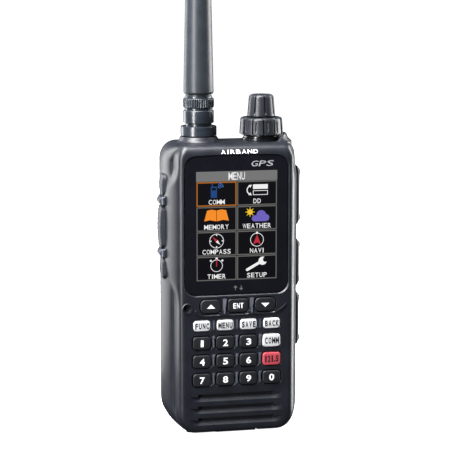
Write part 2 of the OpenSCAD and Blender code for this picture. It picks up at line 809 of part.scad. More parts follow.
module battery_case() {
    color([0.12, 0.13, 0.145]) {
        difference() {
            battery_block(0);
            battery_block(battery_wall);
            block([-latch_w/2 - 0.6, latch_w/2 + 0.6], [seam_y, latch_back_y + 0.6],
                [-1, latch_z + latch_t + 0.5]);
            for (x = contact_x) along_y(seam_y, battery_y + 0.6) translate([x, contact_z])
                square([4, 6], center = true);
        }
        for (i = [-1, 1]) {
            block([i*hook_x - hook_w/2, i*hook_x + hook_w/2], [hook_y - hook_r, hook_y + hook_r],
                [battery_z - hook_low, hook_z]);
            translate([i*hook_x - hook_w/2, hook_y, hook_z]) rotate([0, 90, 0])
                cylinder(h = hook_w, r = hook_r);
            upright(i*20.2, 0, 1.6, base_z + 0.5, battery_y + 7);
        }
    }
}

module battery_cells() {
    cell_t = back_y - battery_y - 2*battery_wall - 0.8;
    cell_h = (battery_h - 2*battery_wall - 12)/2;
    cell_y = battery_y + battery_wall + 0.3;
    low_z = base_z + battery_wall + 5;
    color([0.2, 0.45, 0.6]) for (i = [0, 1]) along_y(cell_y, cell_y + cell_t)
        translate([0, low_z + cell_h/2 + i*(cell_h + 1)]) rounded_rect(case_w - 18, cell_h, 2);
}

module battery_contacts() {
    color([0.85, 0.7, 0.3]) for (x = contact_x) along_y(battery_y + 0.2, battery_y + 0.6 - seat)
        translate([x, contact_z]) square([3.6, 5.6], center = true);
}

module radio_contacts() {
    color([0.85, 0.7, 0.3]) for (x = contact_x) along_y(seam_y - 1.5, plate_back_y + 0.1)
        translate([x, contact_z]) square([2.4, 4], center = true);
}

module battery_latch() {
    color([0.16, 0.17, 0.19]) {
        block([-latch_w/2, latch_w/2], [latch_front_y, latch_back_y - 3.4], [latch_z, latch_z + latch_t]);
        block([-latch_w/2 + 4, latch_w/2 - 4], [latch_back_y - 4, latch_back_y],
            [latch_z + 0.2, latch_z + latch_t]);
        for (i = [0:2]) translate([0, latch_front_y + 1.5 + i*1.6, latch_z - 0.3])
            block([-latch_w/2 + 2, latch_w/2 - 2], [0, 0.7], [0, 0.4]);
    }
}

// ---- The pieces ----

front_shell();
rear_chassis();
case_seal();
case_screws();
display_lens();
lcd_module();
keypad_mat();
main_board();
shield_cans();
gps_antenna();
speaker();
speaker_mesh();
microphone();
side_switches();
mic_jack();
data_jack();
power_jack();
encoder_body();
knob_collar();
antenna_connector();
radio_contacts();
ptt_button();
side_button_upper();
side_button_lower();
mic_jack_cover();
data_jack_cover();
power_jack_cover();
dial_knob();
dial_shaft();
volume_knob();
volume_shaft();
antenna_seal();
antenna_collar();
antenna_sleeve();
antenna_pin();
antenna_whip();
battery_case();
battery_cells();
battery_contacts();
battery_latch();
for (k = KEYS) key_cap(k);
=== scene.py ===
"""Handheld airband radio: the visible pieces, their finishes and the studio.

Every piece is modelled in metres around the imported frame, from the boxes of the frame's own nodes.
"""

import math

import bmesh
import bpy
from bpy.props import FloatProperty, FloatVectorProperty, PointerProperty
from mathutils import Euler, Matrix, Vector


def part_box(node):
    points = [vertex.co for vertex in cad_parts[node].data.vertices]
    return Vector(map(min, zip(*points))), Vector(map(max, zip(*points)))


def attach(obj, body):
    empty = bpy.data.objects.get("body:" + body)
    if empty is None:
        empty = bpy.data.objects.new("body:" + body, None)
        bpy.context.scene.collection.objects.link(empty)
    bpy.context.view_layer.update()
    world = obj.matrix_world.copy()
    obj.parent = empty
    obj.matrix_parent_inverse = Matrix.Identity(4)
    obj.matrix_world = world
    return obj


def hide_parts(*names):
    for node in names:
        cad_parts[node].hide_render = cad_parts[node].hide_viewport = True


bl_info = {
    "name": "Airband radio",
    "version": (1, 0, 0),
    "blender": (4, 5, 0),
    "location": "View3D > Sidebar > Radio",
    "description": "Builds the visible pieces of a handheld airband radio around its frame",
    "category": "Object",
}

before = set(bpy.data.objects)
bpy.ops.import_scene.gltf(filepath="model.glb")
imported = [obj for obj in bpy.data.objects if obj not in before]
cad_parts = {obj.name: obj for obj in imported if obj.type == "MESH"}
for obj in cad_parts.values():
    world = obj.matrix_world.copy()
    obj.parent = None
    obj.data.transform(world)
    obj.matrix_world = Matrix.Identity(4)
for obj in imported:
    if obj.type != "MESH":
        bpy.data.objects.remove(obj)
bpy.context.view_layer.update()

MM = 0.001
CHASSIS_LOW, CHASSIS_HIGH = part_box("rear_chassis")
LENS_LOW, LENS_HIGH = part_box("display_lens")
BATTERY_LOW, BATTERY_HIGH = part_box("battery_case")
FLANK_X = CHASSIS_HIGH.x
BASE_Z = CHASSIS_LOW.z
DECK_Z = CHASSIS_HIGH.z
BACK_Y = CHASSIS_HIGH.y
FACE_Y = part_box("front_shell")[0].y
SEAM_Y = CHASSIS_LOW.y - 0.02 * MM
PLATE_BACK_Y = BATTERY_LOW.y - 0.3 * MM
BATTERY_TOP_Z = BATTERY_HIGH.z - 2.0 * MM
DEPTH = BACK_Y - FACE_Y

NUMBER_KEYS = {f"key_{n}": str(n) for n in range(10)}
WORD_KEYS = {"key_comm": "COMM", "key_func": "FUNC", "key_menu": "MENU", "key_save": "SAVE",
             "key_back": "BACK", "key_emergency": "121.5"}
NAV_KEYS = {"key_up": "up", "key_enter": "ENT", "key_down": "down"}
SIDE_KEYS = {"ptt_button": "ptt_key", "side_button_upper": "upper_side_key",
             "side_button_lower": "lower_side_key"}
JACK_COVERS = {"mic_jack_cover": "mic_cover", "data_jack_cover": "data_cover",
               "power_jack_cover": "power_cover"}


# ---- Sizes and colours that a user would change ----

def length(name, description, default):
    return FloatProperty(name=name, description=description, default=default, unit="LENGTH", precision=5)


def colour(name, description, default):
    return FloatVectorProperty(name=name, description=description, default=default, subtype="COLOR",
                               size=3, min=0, max=1)


def number(name, description, default):
    return FloatProperty(name=name, description=description, default=default)


class CaseSizes(bpy.types.PropertyGroup):
    top_corner: length("Top corner", "Radius of the upper corners", 8.5 * MM)
    bottom_corner: length("Bottom corner", "Radius of the lower corners", 12 * MM)
    wall: length("Wall", "Thickness of the shells", 1.8 * MM)
    rim: length("Key rim", "Width of the chamfer around a key hole", 0.22 * MM)
    key_gap: length("Key gap", "Gap around a key in its hole", 0.38 * MM)
    plastic: colour("Case plastic", "Colour of the front shell", (0.0125, 0.0143, 0.0200))
    chassis: colour("Chassis plastic", "Colour of the chassis and the battery", (0.0110, 0.0125, 0.0168))


class DisplaySizes(bpy.types.PropertyGroup):
    picture_width: length("Picture width", "Width of the lit picture", 36.7 * MM)
    picture_height: length("Picture height", "Height of the lit picture", 49 * MM)
    picture_z: length("Picture height above ground", "Height of the picture's middle", 95.1 * MM)
    arch: length("Arch", "Rise of the glass's upper edge in its middle", 0.7 * MM)
    glass: colour("Glass", "Colour of the masked glass", (0.008, 0.008, 0.012))


class KeySizes(bpy.types.PropertyGroup):
    flange: length("Flange", "Width of the hidden flange around a key", 0.7 * MM)
    rounding: length("Rounding", "Radius of a key's edge", 0.5 * MM)
    black: colour("Black key", "Colour of the number keys", (0.016, 0.017, 0.020))
    white: colour("White key", "Colour of the function keys", (0.52, 0.53, 0.54))
    red: colour("Red key", "Colour of the emergency key", (0.42, 0.070, 0.088))


class KnobSizes(bpy.types.PropertyGroup):
    plastic: colour("Knob plastic", "Colour of both knobs", (0.020, 0.023, 0.028))
    groove: length("Groove", "Depth of a finger groove", 0.55 * MM)


class AntennaSizes(bpy.types.PropertyGroup):
    rubber: colour("Sheath", "Colour of the whip", (0.030, 0.035, 0.042))
    plastic: colour("Sleeve", "Colour of the sleeve and the collar", (0.022, 0.027, 0.035))


class StageSettings(bpy.types.PropertyGroup):
    floor: colour("Floor", "Colour of the floor", (0.92, 0.92, 0.92))
    key_light: number("Key light", "Power of the tall box in front on the left", 14.0)
    side_light: number("Side light", "Power of the tall box on the right", 15.0)
    top_light: number("Top light", "Power of the box overhead", 16.0)
    table_light: number("Table light", "Power of the glow off the table behind", 4.0)
    rear_light: number("Rear light", "Power of the box behind", 7.0)


SETTINGS = {"radio_case": CaseSizes, "radio_display": DisplaySizes, "radio_keys": KeySizes,
            "radio_knobs": KnobSizes, "radio_antenna": AntennaSizes, "radio_stage": StageSettings}


# ---- Selecting, editing and finishing a piece ----

def focus(obj):
    """Makes obj the only selected and the active object."""
    bpy.ops.object.select_all(action="DESELECT")
    obj.select_set(True)
    bpy.context.view_layer.objects.active = obj
    return obj


def new_piece(name):
    """Names the primitive that was just added."""
    obj = bpy.context.object
    obj.name = name
    return focus(obj)


def edit(obj):
    focus(obj)
    bpy.ops.object.mode_set(mode="EDIT")
    return bmesh.from_edit_mesh(obj.data)


def leave_edit():
    bpy.ops.object.mode_set(mode="OBJECT")


def pick(obj, mode, test):
    """Selects in edit mode the elements that pass the test."""
    bpy.context.tool_settings.mesh_select_mode = (mode == "VERT", mode == "EDGE", mode == "FACE")
    mesh = bmesh.from_edit_mesh(obj.data)
    for element in (*mesh.verts, *mesh.edges, *mesh.faces):
        element.select = False
    for element in {"VERT": mesh.verts, "EDGE": mesh.edges, "FACE": mesh.faces}[mode]:
        if test(element):
            element.select_set(True)
    bmesh.update_edit_mesh(obj.data)


def modify(obj, kind, **settings):
    """Adds a modifier, sets it and applies it."""
    focus(obj)
    bpy.ops.object.modifier_add(type=kind)
    modifier = obj.modifiers[-1]
    for key, value in settings.items():
        setattr(modifier, key, value)
    bpy.ops.object.modifier_apply(modifier=modifier.name)
    return obj


def remove(obj):
    bpy.data.objects.remove(obj, do_unlink=True)


def join(name, objects):
    """Joins objects into one piece, which keeps all their materials."""
    bpy.ops.object.select_all(action="DESELECT")
    for obj in objects:
        obj.select_set(True)
    bpy.context.view_layer.objects.active = objects[0]
    if len(objects) > 1:
        bpy.ops.object.join()
    objects[0].name = name
    return objects[0]


def boolean(obj, tools, operation="DIFFERENCE"):
    """Cuts the tools from obj, adds them to it, or keeps what they share."""
    tool = join("tool", tools)
    modify(obj, "BOOLEAN", object=tool, operation=operation, solver="EXACT")
    remove(tool)
    return obj


def settle(obj):
    """Puts the object's place and turn into its mesh."""
    focus(obj)
    bpy.ops.object.transform_apply(location=True, rotation=True, scale=True)
    return obj


def outwards(obj):
    """Merges doubles and turns every face outwards."""
    edit(obj)
    bpy.ops.mesh.select_all(action="SELECT")
    bpy.ops.mesh.remove_doubles(threshold=1e-6)
    bpy.ops.mesh.normals_make_consistent(inside=False)
    leave_edit()
    return obj


def smooth(obj, degrees=35):
    """Smooth shading with crisp edges, where flat faces stay flat."""
    focus(obj)
    bpy.ops.object.shade_smooth_by_angle(angle=math.radians(degrees))
    modify(obj, "WEIGHTED_NORMAL", keep_sharp=True, weight=60)
    return obj


def dress(obj, material, body=None, replaced=(), angle=35):
    """Gives a finished piece its shading, material, body and slot."""
    if angle:
        smooth(obj, angle)
    if material is not None:
        obj.data.materials.clear()
        obj.data.materials.append(material)
    if body:
        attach(obj, body)
    if replaced:
        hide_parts(*replaced)
    return obj


# ---- Shapes that pieces and cutters start from ----

def in_mm(*rows):
    """Rows of numbers given in millimetres, as rows in metres."""
    return [tuple(value * MM for value in row) for row in rows]


def middle_of(node):
    low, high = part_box(node)
    return (low + high) / 2



FACING = {"front": (math.pi / 2, 0, 0), "back": (math.pi / 2, 0, math.pi),
          "left": (math.pi / 2, 0, -math.pi / 2), "right": (math.pi / 2, 0, math.pi / 2),
          "top": (0, 0, 0), "bottom": (math.pi, 0, 0)}


def raise_levels(obj, size, levels):
    """Extrudes the selected outline through levels of (height, growth of the outline)."""
    width, height = size
    here, grown = levels[0]
    for up, grow in levels[1:]:
        bpy.ops.mesh.extrude_region_move(TRANSFORM_OT_translate={"value": (0, 0, up - here)})
        bpy.ops.transform.resize(value=((width + 2 * grow) / (width + 2 * grown),
                                        (height + 2 * grow) / (height + 2 * grown), 1),
                                 center_override=(0, 0, up))
        here, grown = up, grow


def pile(name, size, corner, levels, facing="front", at=(0, 0, 0), segments=6):
    """A closed solid of rounded rectangles, piled up outwards from the plane through at."""
    first, grow = levels[0]
    bpy.ops.mesh.primitive_plane_add(size=1, location=(0, 0, first))
    obj = new_piece(name)
    obj.scale = (size[0] + 2 * grow, size[1] + 2 * grow, 1)
    settle(obj)
    edit(obj)
    bpy.ops.mesh.select_all(action="SELECT")
    bpy.ops.mesh.bevel(offset=corner, segments=segments, affect="VERTICES")
    raise_levels(obj, size, levels)
    leave_edit()
    obj.rotation_euler = Euler(FACING[facing])
    obj.location = at
    return outwards(settle(obj))


def turned(name, profile, at=(0, 0), sides=96, facing="top", up=0.0):
    """A turned solid; the profile is a list of (height, radius) from its foot over its top."""
    first, radius = profile[0]
    bpy.ops.mesh.primitive_circle_add(vertices=sides, radius=radius, fill_type="NGON", location=(0, 0, first))
    obj = new_piece(name)
    settle(obj)
    edit(obj)
    bpy.ops.mesh.select_all(action="SELECT")
    here = first
    for height, new_radius in profile[1:]:
        bpy.ops.mesh.extrude_region_move(TRANSFORM_OT_translate={"value": (0, 0, height - here)})
        bpy.ops.transform.resize(value=(new_radius / radius, new_radius / radius, 1),
                                 center_override=(0, 0, height))
        here, radius = height, new_radius
    leave_edit()
    obj.rotation_euler = Euler(FACING[facing])
    obj.location = (at[0], at[1], up)
    return outwards(settle(obj))


def box_piece(name, low, high):
    low, high = Vector(low), Vector(high)
    bpy.ops.mesh.primitive_cube_add(size=1, location=(low + high) / 2)
    obj = new_piece(name)
    obj.scale = high - low
    return settle(obj)


def smoothstep(low, high, value):
    t = min(1.0, max(0.0, (value - low) / (high - low)))
    return t * t * (3 - 2 * t)


# ---- Materials ----

def new_material(name):
    material = bpy.data.materials.new(name)
    material.use_nodes = True
    nodes = material.node_tree.nodes
    return material, nodes, material.node_tree.links, nodes["Principled BSDF"]


def texture(nodes, links, kind, settings):
    """A pattern on the piece's own coordinates."""
    place = nodes.new("ShaderNodeTexCoord")
    pattern = nodes.new("ShaderNodeTex" + kind)
    for key, value in settings.items():
        pattern.inputs[key].default_value = value
    links.new(place.outputs["Object"], pattern.inputs["Vector"])
    return pattern


def noise(nodes, links, scale, detail=2.0):
    return texture(nodes, links, "Noise", {"Scale": scale, "Detail": detail})


def ramp(nodes, links, source, stops):
    """A colour ramp; stops are (position, colour)."""
    node = nodes.new("ShaderNodeValToRGB")
    elements = node.color_ramp.elements
    for _ in range(len(stops) - 2):
        elements.new(0.5)
    for element, (position, value) in zip(elements, sorted(stops)):
        element.position = position
        element.color = (*value, 1)
    links.new(source, node.inputs["Fac"])
    return node.outputs["Color"]


PATCH_SCALE = 160
PATCH_DETAIL = 3.0
GLOSS_SPREAD = 0.05
BUMP_DEPTH = 0.05 * MM
DOTS_SCALE = 13000
DOT_SHADE = 0.86


def moulded(name, base, roughness, grain, bump, spread, specular=0.5, metallic=0.0):
    """A moulded or cast finish: a fine grain, faint patches of colour and of gloss."""
    material, nodes, links, shader = new_material(name)
    shader.inputs["Specular IOR Level"].default_value = specular
    shader.inputs["Metallic"].default_value = metallic
    cloud = noise(nodes, links, PATCH_SCALE, PATCH_DETAIL)
    dark = tuple(c * (1 - spread) for c in base)
    light = tuple(min(1.0, c * (1 + spread)) for c in base)
    links.new(ramp(nodes, links, cloud.outputs["Fac"], ((0.3, dark), (0.7, light))),
              shader.inputs["Base Color"])
    rough = nodes.new("ShaderNodeMapRange")
    rough.inputs["To Min"].default_value = roughness - GLOSS_SPREAD
    rough.inputs["To Max"].default_value = roughness + GLOSS_SPREAD
    links.new(cloud.outputs["Fac"], rough.inputs["Value"])
    links.new(rough.outputs["Result"], shader.inputs["Roughness"])
    raised = nodes.new("ShaderNodeBump")
    raised.inputs["Strength"].default_value = bump
    raised.inputs["Distance"].default_value = BUMP_DEPTH
    links.new(noise(nodes, links, grain).outputs["Fac"], raised.inputs["Height"])
    links.new(raised.outputs["Normal"], shader.inputs["Normal"])
    return material


def lit(name, base):
    """A lit patch of the picture, with the fine grid of its dots."""
    material, nodes, links, shader = new_material(name)
    dots = texture(nodes, links, "Checker", {"Scale": DOTS_SCALE, "Color1": (*base, 1),
                                             "Color2": (*(c * DOT_SHADE for c in base), 1)})
    shader.inputs["Base Color"].default_value = (0.004, 0.004, 0.005, 1)
    links.new(dots.outputs["Color"], shader.inputs["Emission Color"])
    shader.inputs["Emission Strength"].default_value = 1.0
    shader.inputs["Roughness"].default_value = 0.25
    shader.inputs["Specular IOR Level"].default_value = 0.2
    return material


def patterned(name, kind, settings, roughness):
    """A finish whose colour is a repeating pattern."""
    material, nodes, links, shader = new_material(name)
    links.new(texture(nodes, links, kind, settings).outputs["Color"], shader.inputs["Base Color"])
    shader.inputs["Roughness"].default_value = roughness
    return material


MATERIALS = {}


SCREEN_COLOURS = {
    "white": (0.95, 0.95, 0.95), "grey": (0.23, 0.23, 0.23), "line": (0.17, 0.17, 0.16),
    "orange": (1.0, 0.33, 0.03), "frame_orange": (0.45, 0.16, 0.02), "blue": (0.02, 0.085, 0.27),
    "pale_blue": (0.07, 0.18, 0.50), "yellow": (0.95, 0.62, 0.04), "purple": (0.20, 0.16, 0.58),
    "red": (0.62, 0.035, 0.06), "dark": (0.002, 0.002, 0.003),
}
# Painted highlight: how many times lighter than the case plastic the ridges between the keys and the side
# pad's front wall are painted.
PAINTED_HIGHLIGHT_GAIN = 3.4


def make_materials():
    """All finishes, named as the record's slots or as the picture's colours."""
    scene = bpy.context.scene
    case, display, keys = scene.radio_case, scene.radio_display, scene.radio_keys
    knobs, antenna = scene.radio_knobs, scene.radio_antenna
    # name, colour, roughness, scale of the grain, bump, spread of the colour, specular, metallic
    for name, *finish in (
            ("case_plastic", case.plastic, 0.40, 2300, 0.35, 0.16, 0.6),
            # The next row is a painted highlight: a lighter, glossier copy of the case plastic for the ridges
            # between the keys and the side pad's front wall.
            ("case_edge", [PAINTED_HIGHLIGHT_GAIN * c for c in case.plastic], 0.33, 2300, 0.2, 0.2, 0.8),
            ("chassis_plastic", case.chassis, 0.5, 2300, 0.4, 0.14, 0.45),
            ("lens_gloss", display.glass, 0.10, 90, 0.0, 0.1, 0.35),
            ("key_black", keys.black, 0.42, 3000, 0.1, 0.1, 0.5),
            ("key_white", keys.white, 0.42, 3000, 0.08, 0.03, 0.4),
            ("key_red", keys.red, 0.42, 3000, 0.08, 0.06, 0.4),
            ("legend_white", (0.85, 0.86, 0.87), 0.5, 3000, 0.05, 0.03, 0.3),
            ("legend_dark", (0.012, 0.012, 0.013), 0.5, 3000, 0.05, 0.05, 0.3),
            ("legend_grey", (0.30, 0.31, 0.33), 0.45, 3000, 0.05, 0.05, 0.3),
            ("side_key_rubber", (0.032, 0.035, 0.042), 0.5, 2600, 0.3, 0.15, 0.5),
            ("cover_rubber", (0.034, 0.038, 0.045), 0.5, 2600, 0.3, 0.15, 0.5),
            ("knob_plastic", knobs.plastic, 0.36, 3000, 0.12, 0.12, 0.5),
            ("knob_gloss", (0.010, 0.011, 0.013), 0.2, 3000, 0.04, 0.1, 0.5),
            ("antenna_plastic", antenna.plastic, 0.27, 2600, 0.1, 0.12, 0.7),
            ("antenna_rubber", antenna.rubber, 0.40, 2600, 0.12, 0.12, 0.5),
            ("black_rubber", (0.012, 0.012, 0.013), 0.7, 2600, 0.3, 0.15, 0.3),
            ("latch_plastic", (0.020, 0.022, 0.026), 0.45, 2600, 0.3, 0.12, 0.5),
            ("steel", (0.55, 0.56, 0.58), 0.3, 900, 0.1, 0.1, 0.5, 1.0),
            ("tinned_steel", (0.62, 0.62, 0.6), 0.35, 500, 0.1, 0.1, 0.5, 1.0),
            ("contact_gold", (0.83, 0.58, 0.24), 0.25, 900, 0.05, 0.08, 0.5, 1.0),
            ("display_panel", (0.25, 0.26, 0.28), 0.35, 700, 0.05, 0.1),
            ("mat_rubber", (0.06, 0.06, 0.065), 0.7, 1500, 0.2, 0.12, 0.3),
            ("ceramic", (0.55, 0.48, 0.38), 0.5, 1500, 0.1, 0.08, 0.4),
            ("speaker_frame", (0.03, 0.03, 0.033), 0.5, 1500, 0.15, 0.1),
            ("switch_plastic", (0.3, 0.3, 0.26), 0.5, 1500, 0.1, 0.08),
            ("jack_plastic", (0.01, 0.01, 0.011), 0.35, 1500, 0.05, 0.1),
            ("cell_wrap", (0.05, 0.16, 0.26), 0.3, 400, 0.05, 0.1)):
        MATERIALS[name] = moulded(name, *finish)
    MATERIALS["circuit_board"] = patterned("circuit_board", "Brick", {
        "Scale": 900, "Mortar Size": 0.06, "Color1": (0.010, 0.075, 0.035, 1),
        "Color2": (0.014, 0.095, 0.045, 1), "Mortar": (0.04, 0.16, 0.08, 1)}, 0.35)
    MATERIALS["speaker_mesh"] = patterned("speaker_mesh", "Checker", {
        "Scale": 4500, "Color1": (0.008, 0.008, 0.009, 1), "Color2": (0.02, 0.02, 0.022, 1)}, 0.8)
    for name, value in SCREEN_COLOURS.items():
        MATERIALS["screen_" + name] = lit("screen_" + name, value)


# ---- The outside of the case, shared by front shell, chassis, battery and covers ----

# Each row is one control point of the surface from the face to the back:
# (distance in from the outline, depth behind the face), in millimetres, for each side of the case.
VALLEY = ((9.0, 0), (6.0, 0), (4.5, 1.6), (4.2, 8.6), (2.3, 9.6),
          (0.2, 17), (0.4, 26), (1.6, 31), (4.4, 34.4), (7, 34.4))
BULGE = ((9.0, 0), (6.2, 0), (4.4, 1.4), (2.6, 5), (1.1, 9.5),
         (0, 15), (0.4, 26), (1.6, 31), (4.4, 34.4), (7, 34.4))
TOP = ((9.0, 0), (5.2, 0), (3.0, 0.4), (1.2, 1.6), (0.2, 4),
       (0, 9), (0, 26), (0.8, 32), (3, 34.4), (7, 34.4))
BOTTOM = ((9.0, 0), (3.4, 0), (1.3, 0.2), (0.25, 1.0), (0, 2.6),
          (0, 12), (0, 26), (1.0, 32), (3, 34.4), (7, 34.4))
RINGS = 56
SIDES = 364
CORNER_STEPS = 14
END_STEPS = 44
FLANK_STEPS = SIDES // 2 - 2 * CORNER_STEPS - END_STEPS


def along_curve(points, t):
    """A point of the smooth curve that the control points pull, for t from 0 to 1."""
    s = t * (len(points) - 2)
    i = min(int(s), len(points) - 3)
    u = s - i
    weights = (0.5 * (1 - u) ** 2, 0.5 * (-2 * u * u + 2 * u + 1), 0.5 * u * u)
    return [sum(w * points[i + k][c] for k, w in enumerate(weights)) for c in (0, 1)]


def bulge_share(x, z, t):
    """1 where the flank bulges out beside the face, 0 where a valley runs down it."""
    z = (z - BASE_Z) / MM
    if x < 0:
        slant = 32 * min(t, 0.5)
        lower = smoothstep(51 + slant, 61 + slant, z)
        return lower * (1 - smoothstep(117 - slant / 2, 125 - slant / 2, z))
    return 1 - smoothstep(114, 124, z)


def case_outline(wall):
    """Points (x, z) and normals around the front view of the case, taken in by wall."""
    sizes = bpy.context.scene.radio_case
    half = FLANK_X - wall
    low, high = BASE_Z + wall, DECK_Z - wall
    corners = []
    for sx, sz in ((1, 1), (-1, 1), (-1, -1), (1, -1)):
        r = (sizes.top_corner if sz > 0 else sizes.bottom_corner) - wall
        corners.append((Vector((sx * (half - r), (high if sz > 0 else low) - sz * r)), r))
    points = []
    quarter = math.pi / 2
    for i, (centre, r) in enumerate(corners):
        for k in range(CORNER_STEPS):
            a = i * quarter + quarter * k / CORNER_STEPS
            n = Vector((math.cos(a), math.sin(a)))
            points.append((centre + n * r, n))
        a = (i + 1) * quarter
        n = Vector((math.cos(a), math.sin(a)))
        start = centre + n * r
        next_centre, next_r = corners[(i + 1) % 4]
        end = next_centre + n * next_r
        steps = FLANK_STEPS if i % 2 else END_STEPS
        for k in range(steps):
            points.append((start.lerp(end, k / steps), n))
    return points


def case_point(outline, k, t, wall):
    """Where the surface of the case is at outline point k, t of the way from face to back."""
    point, normal = outline[k]
    side, upright = normal.x ** 2, normal.y ** 2
    share = bulge_share(point.x, point.y, t)
    flank = [a + (b - a) * share for a, b in zip(along_curve(VALLEY, t), along_curve(BULGE, t))]
    end = along_curve(TOP if normal.y > 0 else BOTTOM, t)
    inset, depth = (MM * (side * a + upright * b) for a, b in zip(flank, end))
    if wall > 0:
        inset *= 0.8
        depth = wall + depth * (DEPTH - 2 * wall) / DEPTH
    place = point - normal * inset
    return Vector((place.x, FACE_Y + depth, place.y))


def case_body(name, wall=0.0):
    """The whole case as one closed solid, or its inside where a wall is given."""
    outline = case_outline(wall)
    count = len(outline)
    bpy.ops.mesh.primitive_cylinder_add(vertices=count, radius=1, depth=2, end_fill_type="NGON")
    obj = new_piece(name)
    edit(obj)
    pick(obj, "EDGE", lambda e: abs(e.verts[0].co.z - e.verts[1].co.z) > 1)
    bpy.ops.mesh.subdivide(number_cuts=RINGS - 2)
    leave_edit()
    for vertex in obj.data.vertices:
        k = round(math.atan2(vertex.co.y, vertex.co.x) / math.tau * count) % count
        t = (1 - vertex.co.z) / 2
        vertex.co = case_point(outline, k, t, wall)
    return outwards(obj)


def keep_side(obj, point, normal):
    """Cuts the piece with a plane, drops what lies beyond it and closes the cut."""
    edit(obj)
    bpy.ops.mesh.select_all(action="SELECT")
    bpy.ops.mesh.bisect(plane_co=point, plane_no=normal, use_fill=True, clear_outer=True)
    leave_edit()
    return obj


# ---- Front shell ----

FOOT_X = 20.2 * MM
GRILLE_ROWS = 3
GRILLE_PITCH = 5.45 * MM
GRILLE_LOW = 4.7 * MM
GRILLE_HALF = 17.3 * MM
GRILLE_MIDDLE = -0.4 * MM


def rim_levels(rim, reach):
    """A cutter's levels: straight through the wall, then flared towards the face."""
    return ((-reach, 0), (-rim, 0), (0, rim), (0.6 * MM, rim + 0.6 * MM))


def key_size(node):
    """Middle, width and height of a key above the face, and the radius of its corners."""
    low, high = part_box(node)
    flange = bpy.context.scene.radio_keys.flange
    middle = (low + high) / 2
    size = (high.x - low.x - 2 * flange, high.z - low.z - 2 * flange)
    corner = 2.5 * MM if node in ("key_up", "key_down") else 1.7 * MM
    return middle, size, corner


def key_holes(reach):
    case = bpy.context.scene.radio_case
    rim, gap = case.rim, case.key_gap
    holes = []
    for node in (*NUMBER_KEYS, *WORD_KEYS, *NAV_KEYS):
        middle, size, corner = key_size(node)
        holes.append(pile("hole", (size[0] + 2 * gap, size[1] + 2 * gap), corner + gap,
                          rim_levels(rim, reach), at=(middle.x, FACE_Y, middle.z)))
    return holes


def grille_slots():
    """Three long slots; each has a sloping lower lip that runs out in a ramp at both ends."""
    slots = []
    for i in range(GRILLE_ROWS):
        z = BASE_Z + GRILLE_LOW + i * GRILLE_PITCH
        slots.append(box_piece("slot", (GRILLE_MIDDLE - GRILLE_HALF, FACE_Y - 1 * MM, z + 1.15 * MM),
                               (GRILLE_MIDDLE + GRILLE_HALF, FACE_Y + 4 * MM, z + 2.5 * MM)))
        slots.append(lip_cutter(z))
    return slots


def lip_cutter(z):
    """The sloping lip of one slot, deepest at its upper edge, running out at its ends."""
    stations = 48
    reach = GRILLE_HALF + 4.2 * MM
    bpy.ops.mesh.primitive_cube_add(size=1)
    obj = new_piece("lip")
    edit(obj)
    pick(obj, "EDGE", lambda e: abs(e.verts[0].co.x - e.verts[1].co.x) > 0.5)
    bpy.ops.mesh.subdivide(number_cuts=stations - 1)
    leave_edit()
    for vertex in obj.data.vertices:
        x = vertex.co.x * 2 * reach
        share = 1 - smoothstep(GRILLE_HALF - 0.6 * MM, reach, abs(x))
        deep, upper = vertex.co.y > 0, vertex.co.z > 0
        depth = 1.6 * MM * share if deep and upper else (0.02 * MM if deep else -1 * MM)
        top = z + (1.3 + 0.55 * (1 - share)) * MM
        vertex.co = (GRILLE_MIDDLE + x, FACE_Y + depth, top if upper else z - 0.9 * MM)
    return outwards(obj)


def lens_solid(name, grow, levels):
    """A solid of the display's rounded outline, with its upper edge arched."""
    width = LENS_HIGH.x - LENS_LOW.x + 2 * grow
    height = LENS_HIGH.z - LENS_LOW.z + 2 * grow
    middle_z = (LENS_LOW.z + LENS_HIGH.z) / 2
    bpy.ops.mesh.primitive_plane_add(size=1, location=(0, 0, levels[0][0]))
    obj = new_piece(name)
    obj.scale = (width, height, 1)
    settle(obj)
    edit(obj)
    bpy.ops.mesh.select_all(action="SELECT")
    bpy.ops.mesh.bevel(offset=5 * MM + grow, segments=10, affect="VERTICES")
    pick(obj, "EDGE", lambda e: min(v.co.y for v in e.verts) > height / 2 - 1e-5
         and e.calc_length() > 10 * MM)
    bpy.ops.mesh.subdivide(number_cuts=24)
    leave_edit()
    arch = bpy.context.scene.radio_display.arch
    for vertex in obj.data.vertices:
        if vertex.co.y > 0:
            fall = (vertex.co.x / (width / 2)) ** 2
            vertex.co.y += arch * (1 - fall) * max(0.0, vertex.co.y / (height / 2)) ** 6
    edit(obj)
    bpy.ops.mesh.select_all(action="SELECT")
    raise_levels(obj, (width, height), levels)
    leave_edit()
    obj.rotation_euler = Euler(FACING["front"])
    obj.location = (0, FACE_Y, middle_z)
    return outwards(settle(obj))


PAD_WIDTH = 11.6 * MM
PAD_MIDDLE_Y = -0.75 * MM
DIVIDER_WIDTH = 9.6 * MM
DIVIDER_LAP = 0.8 * MM


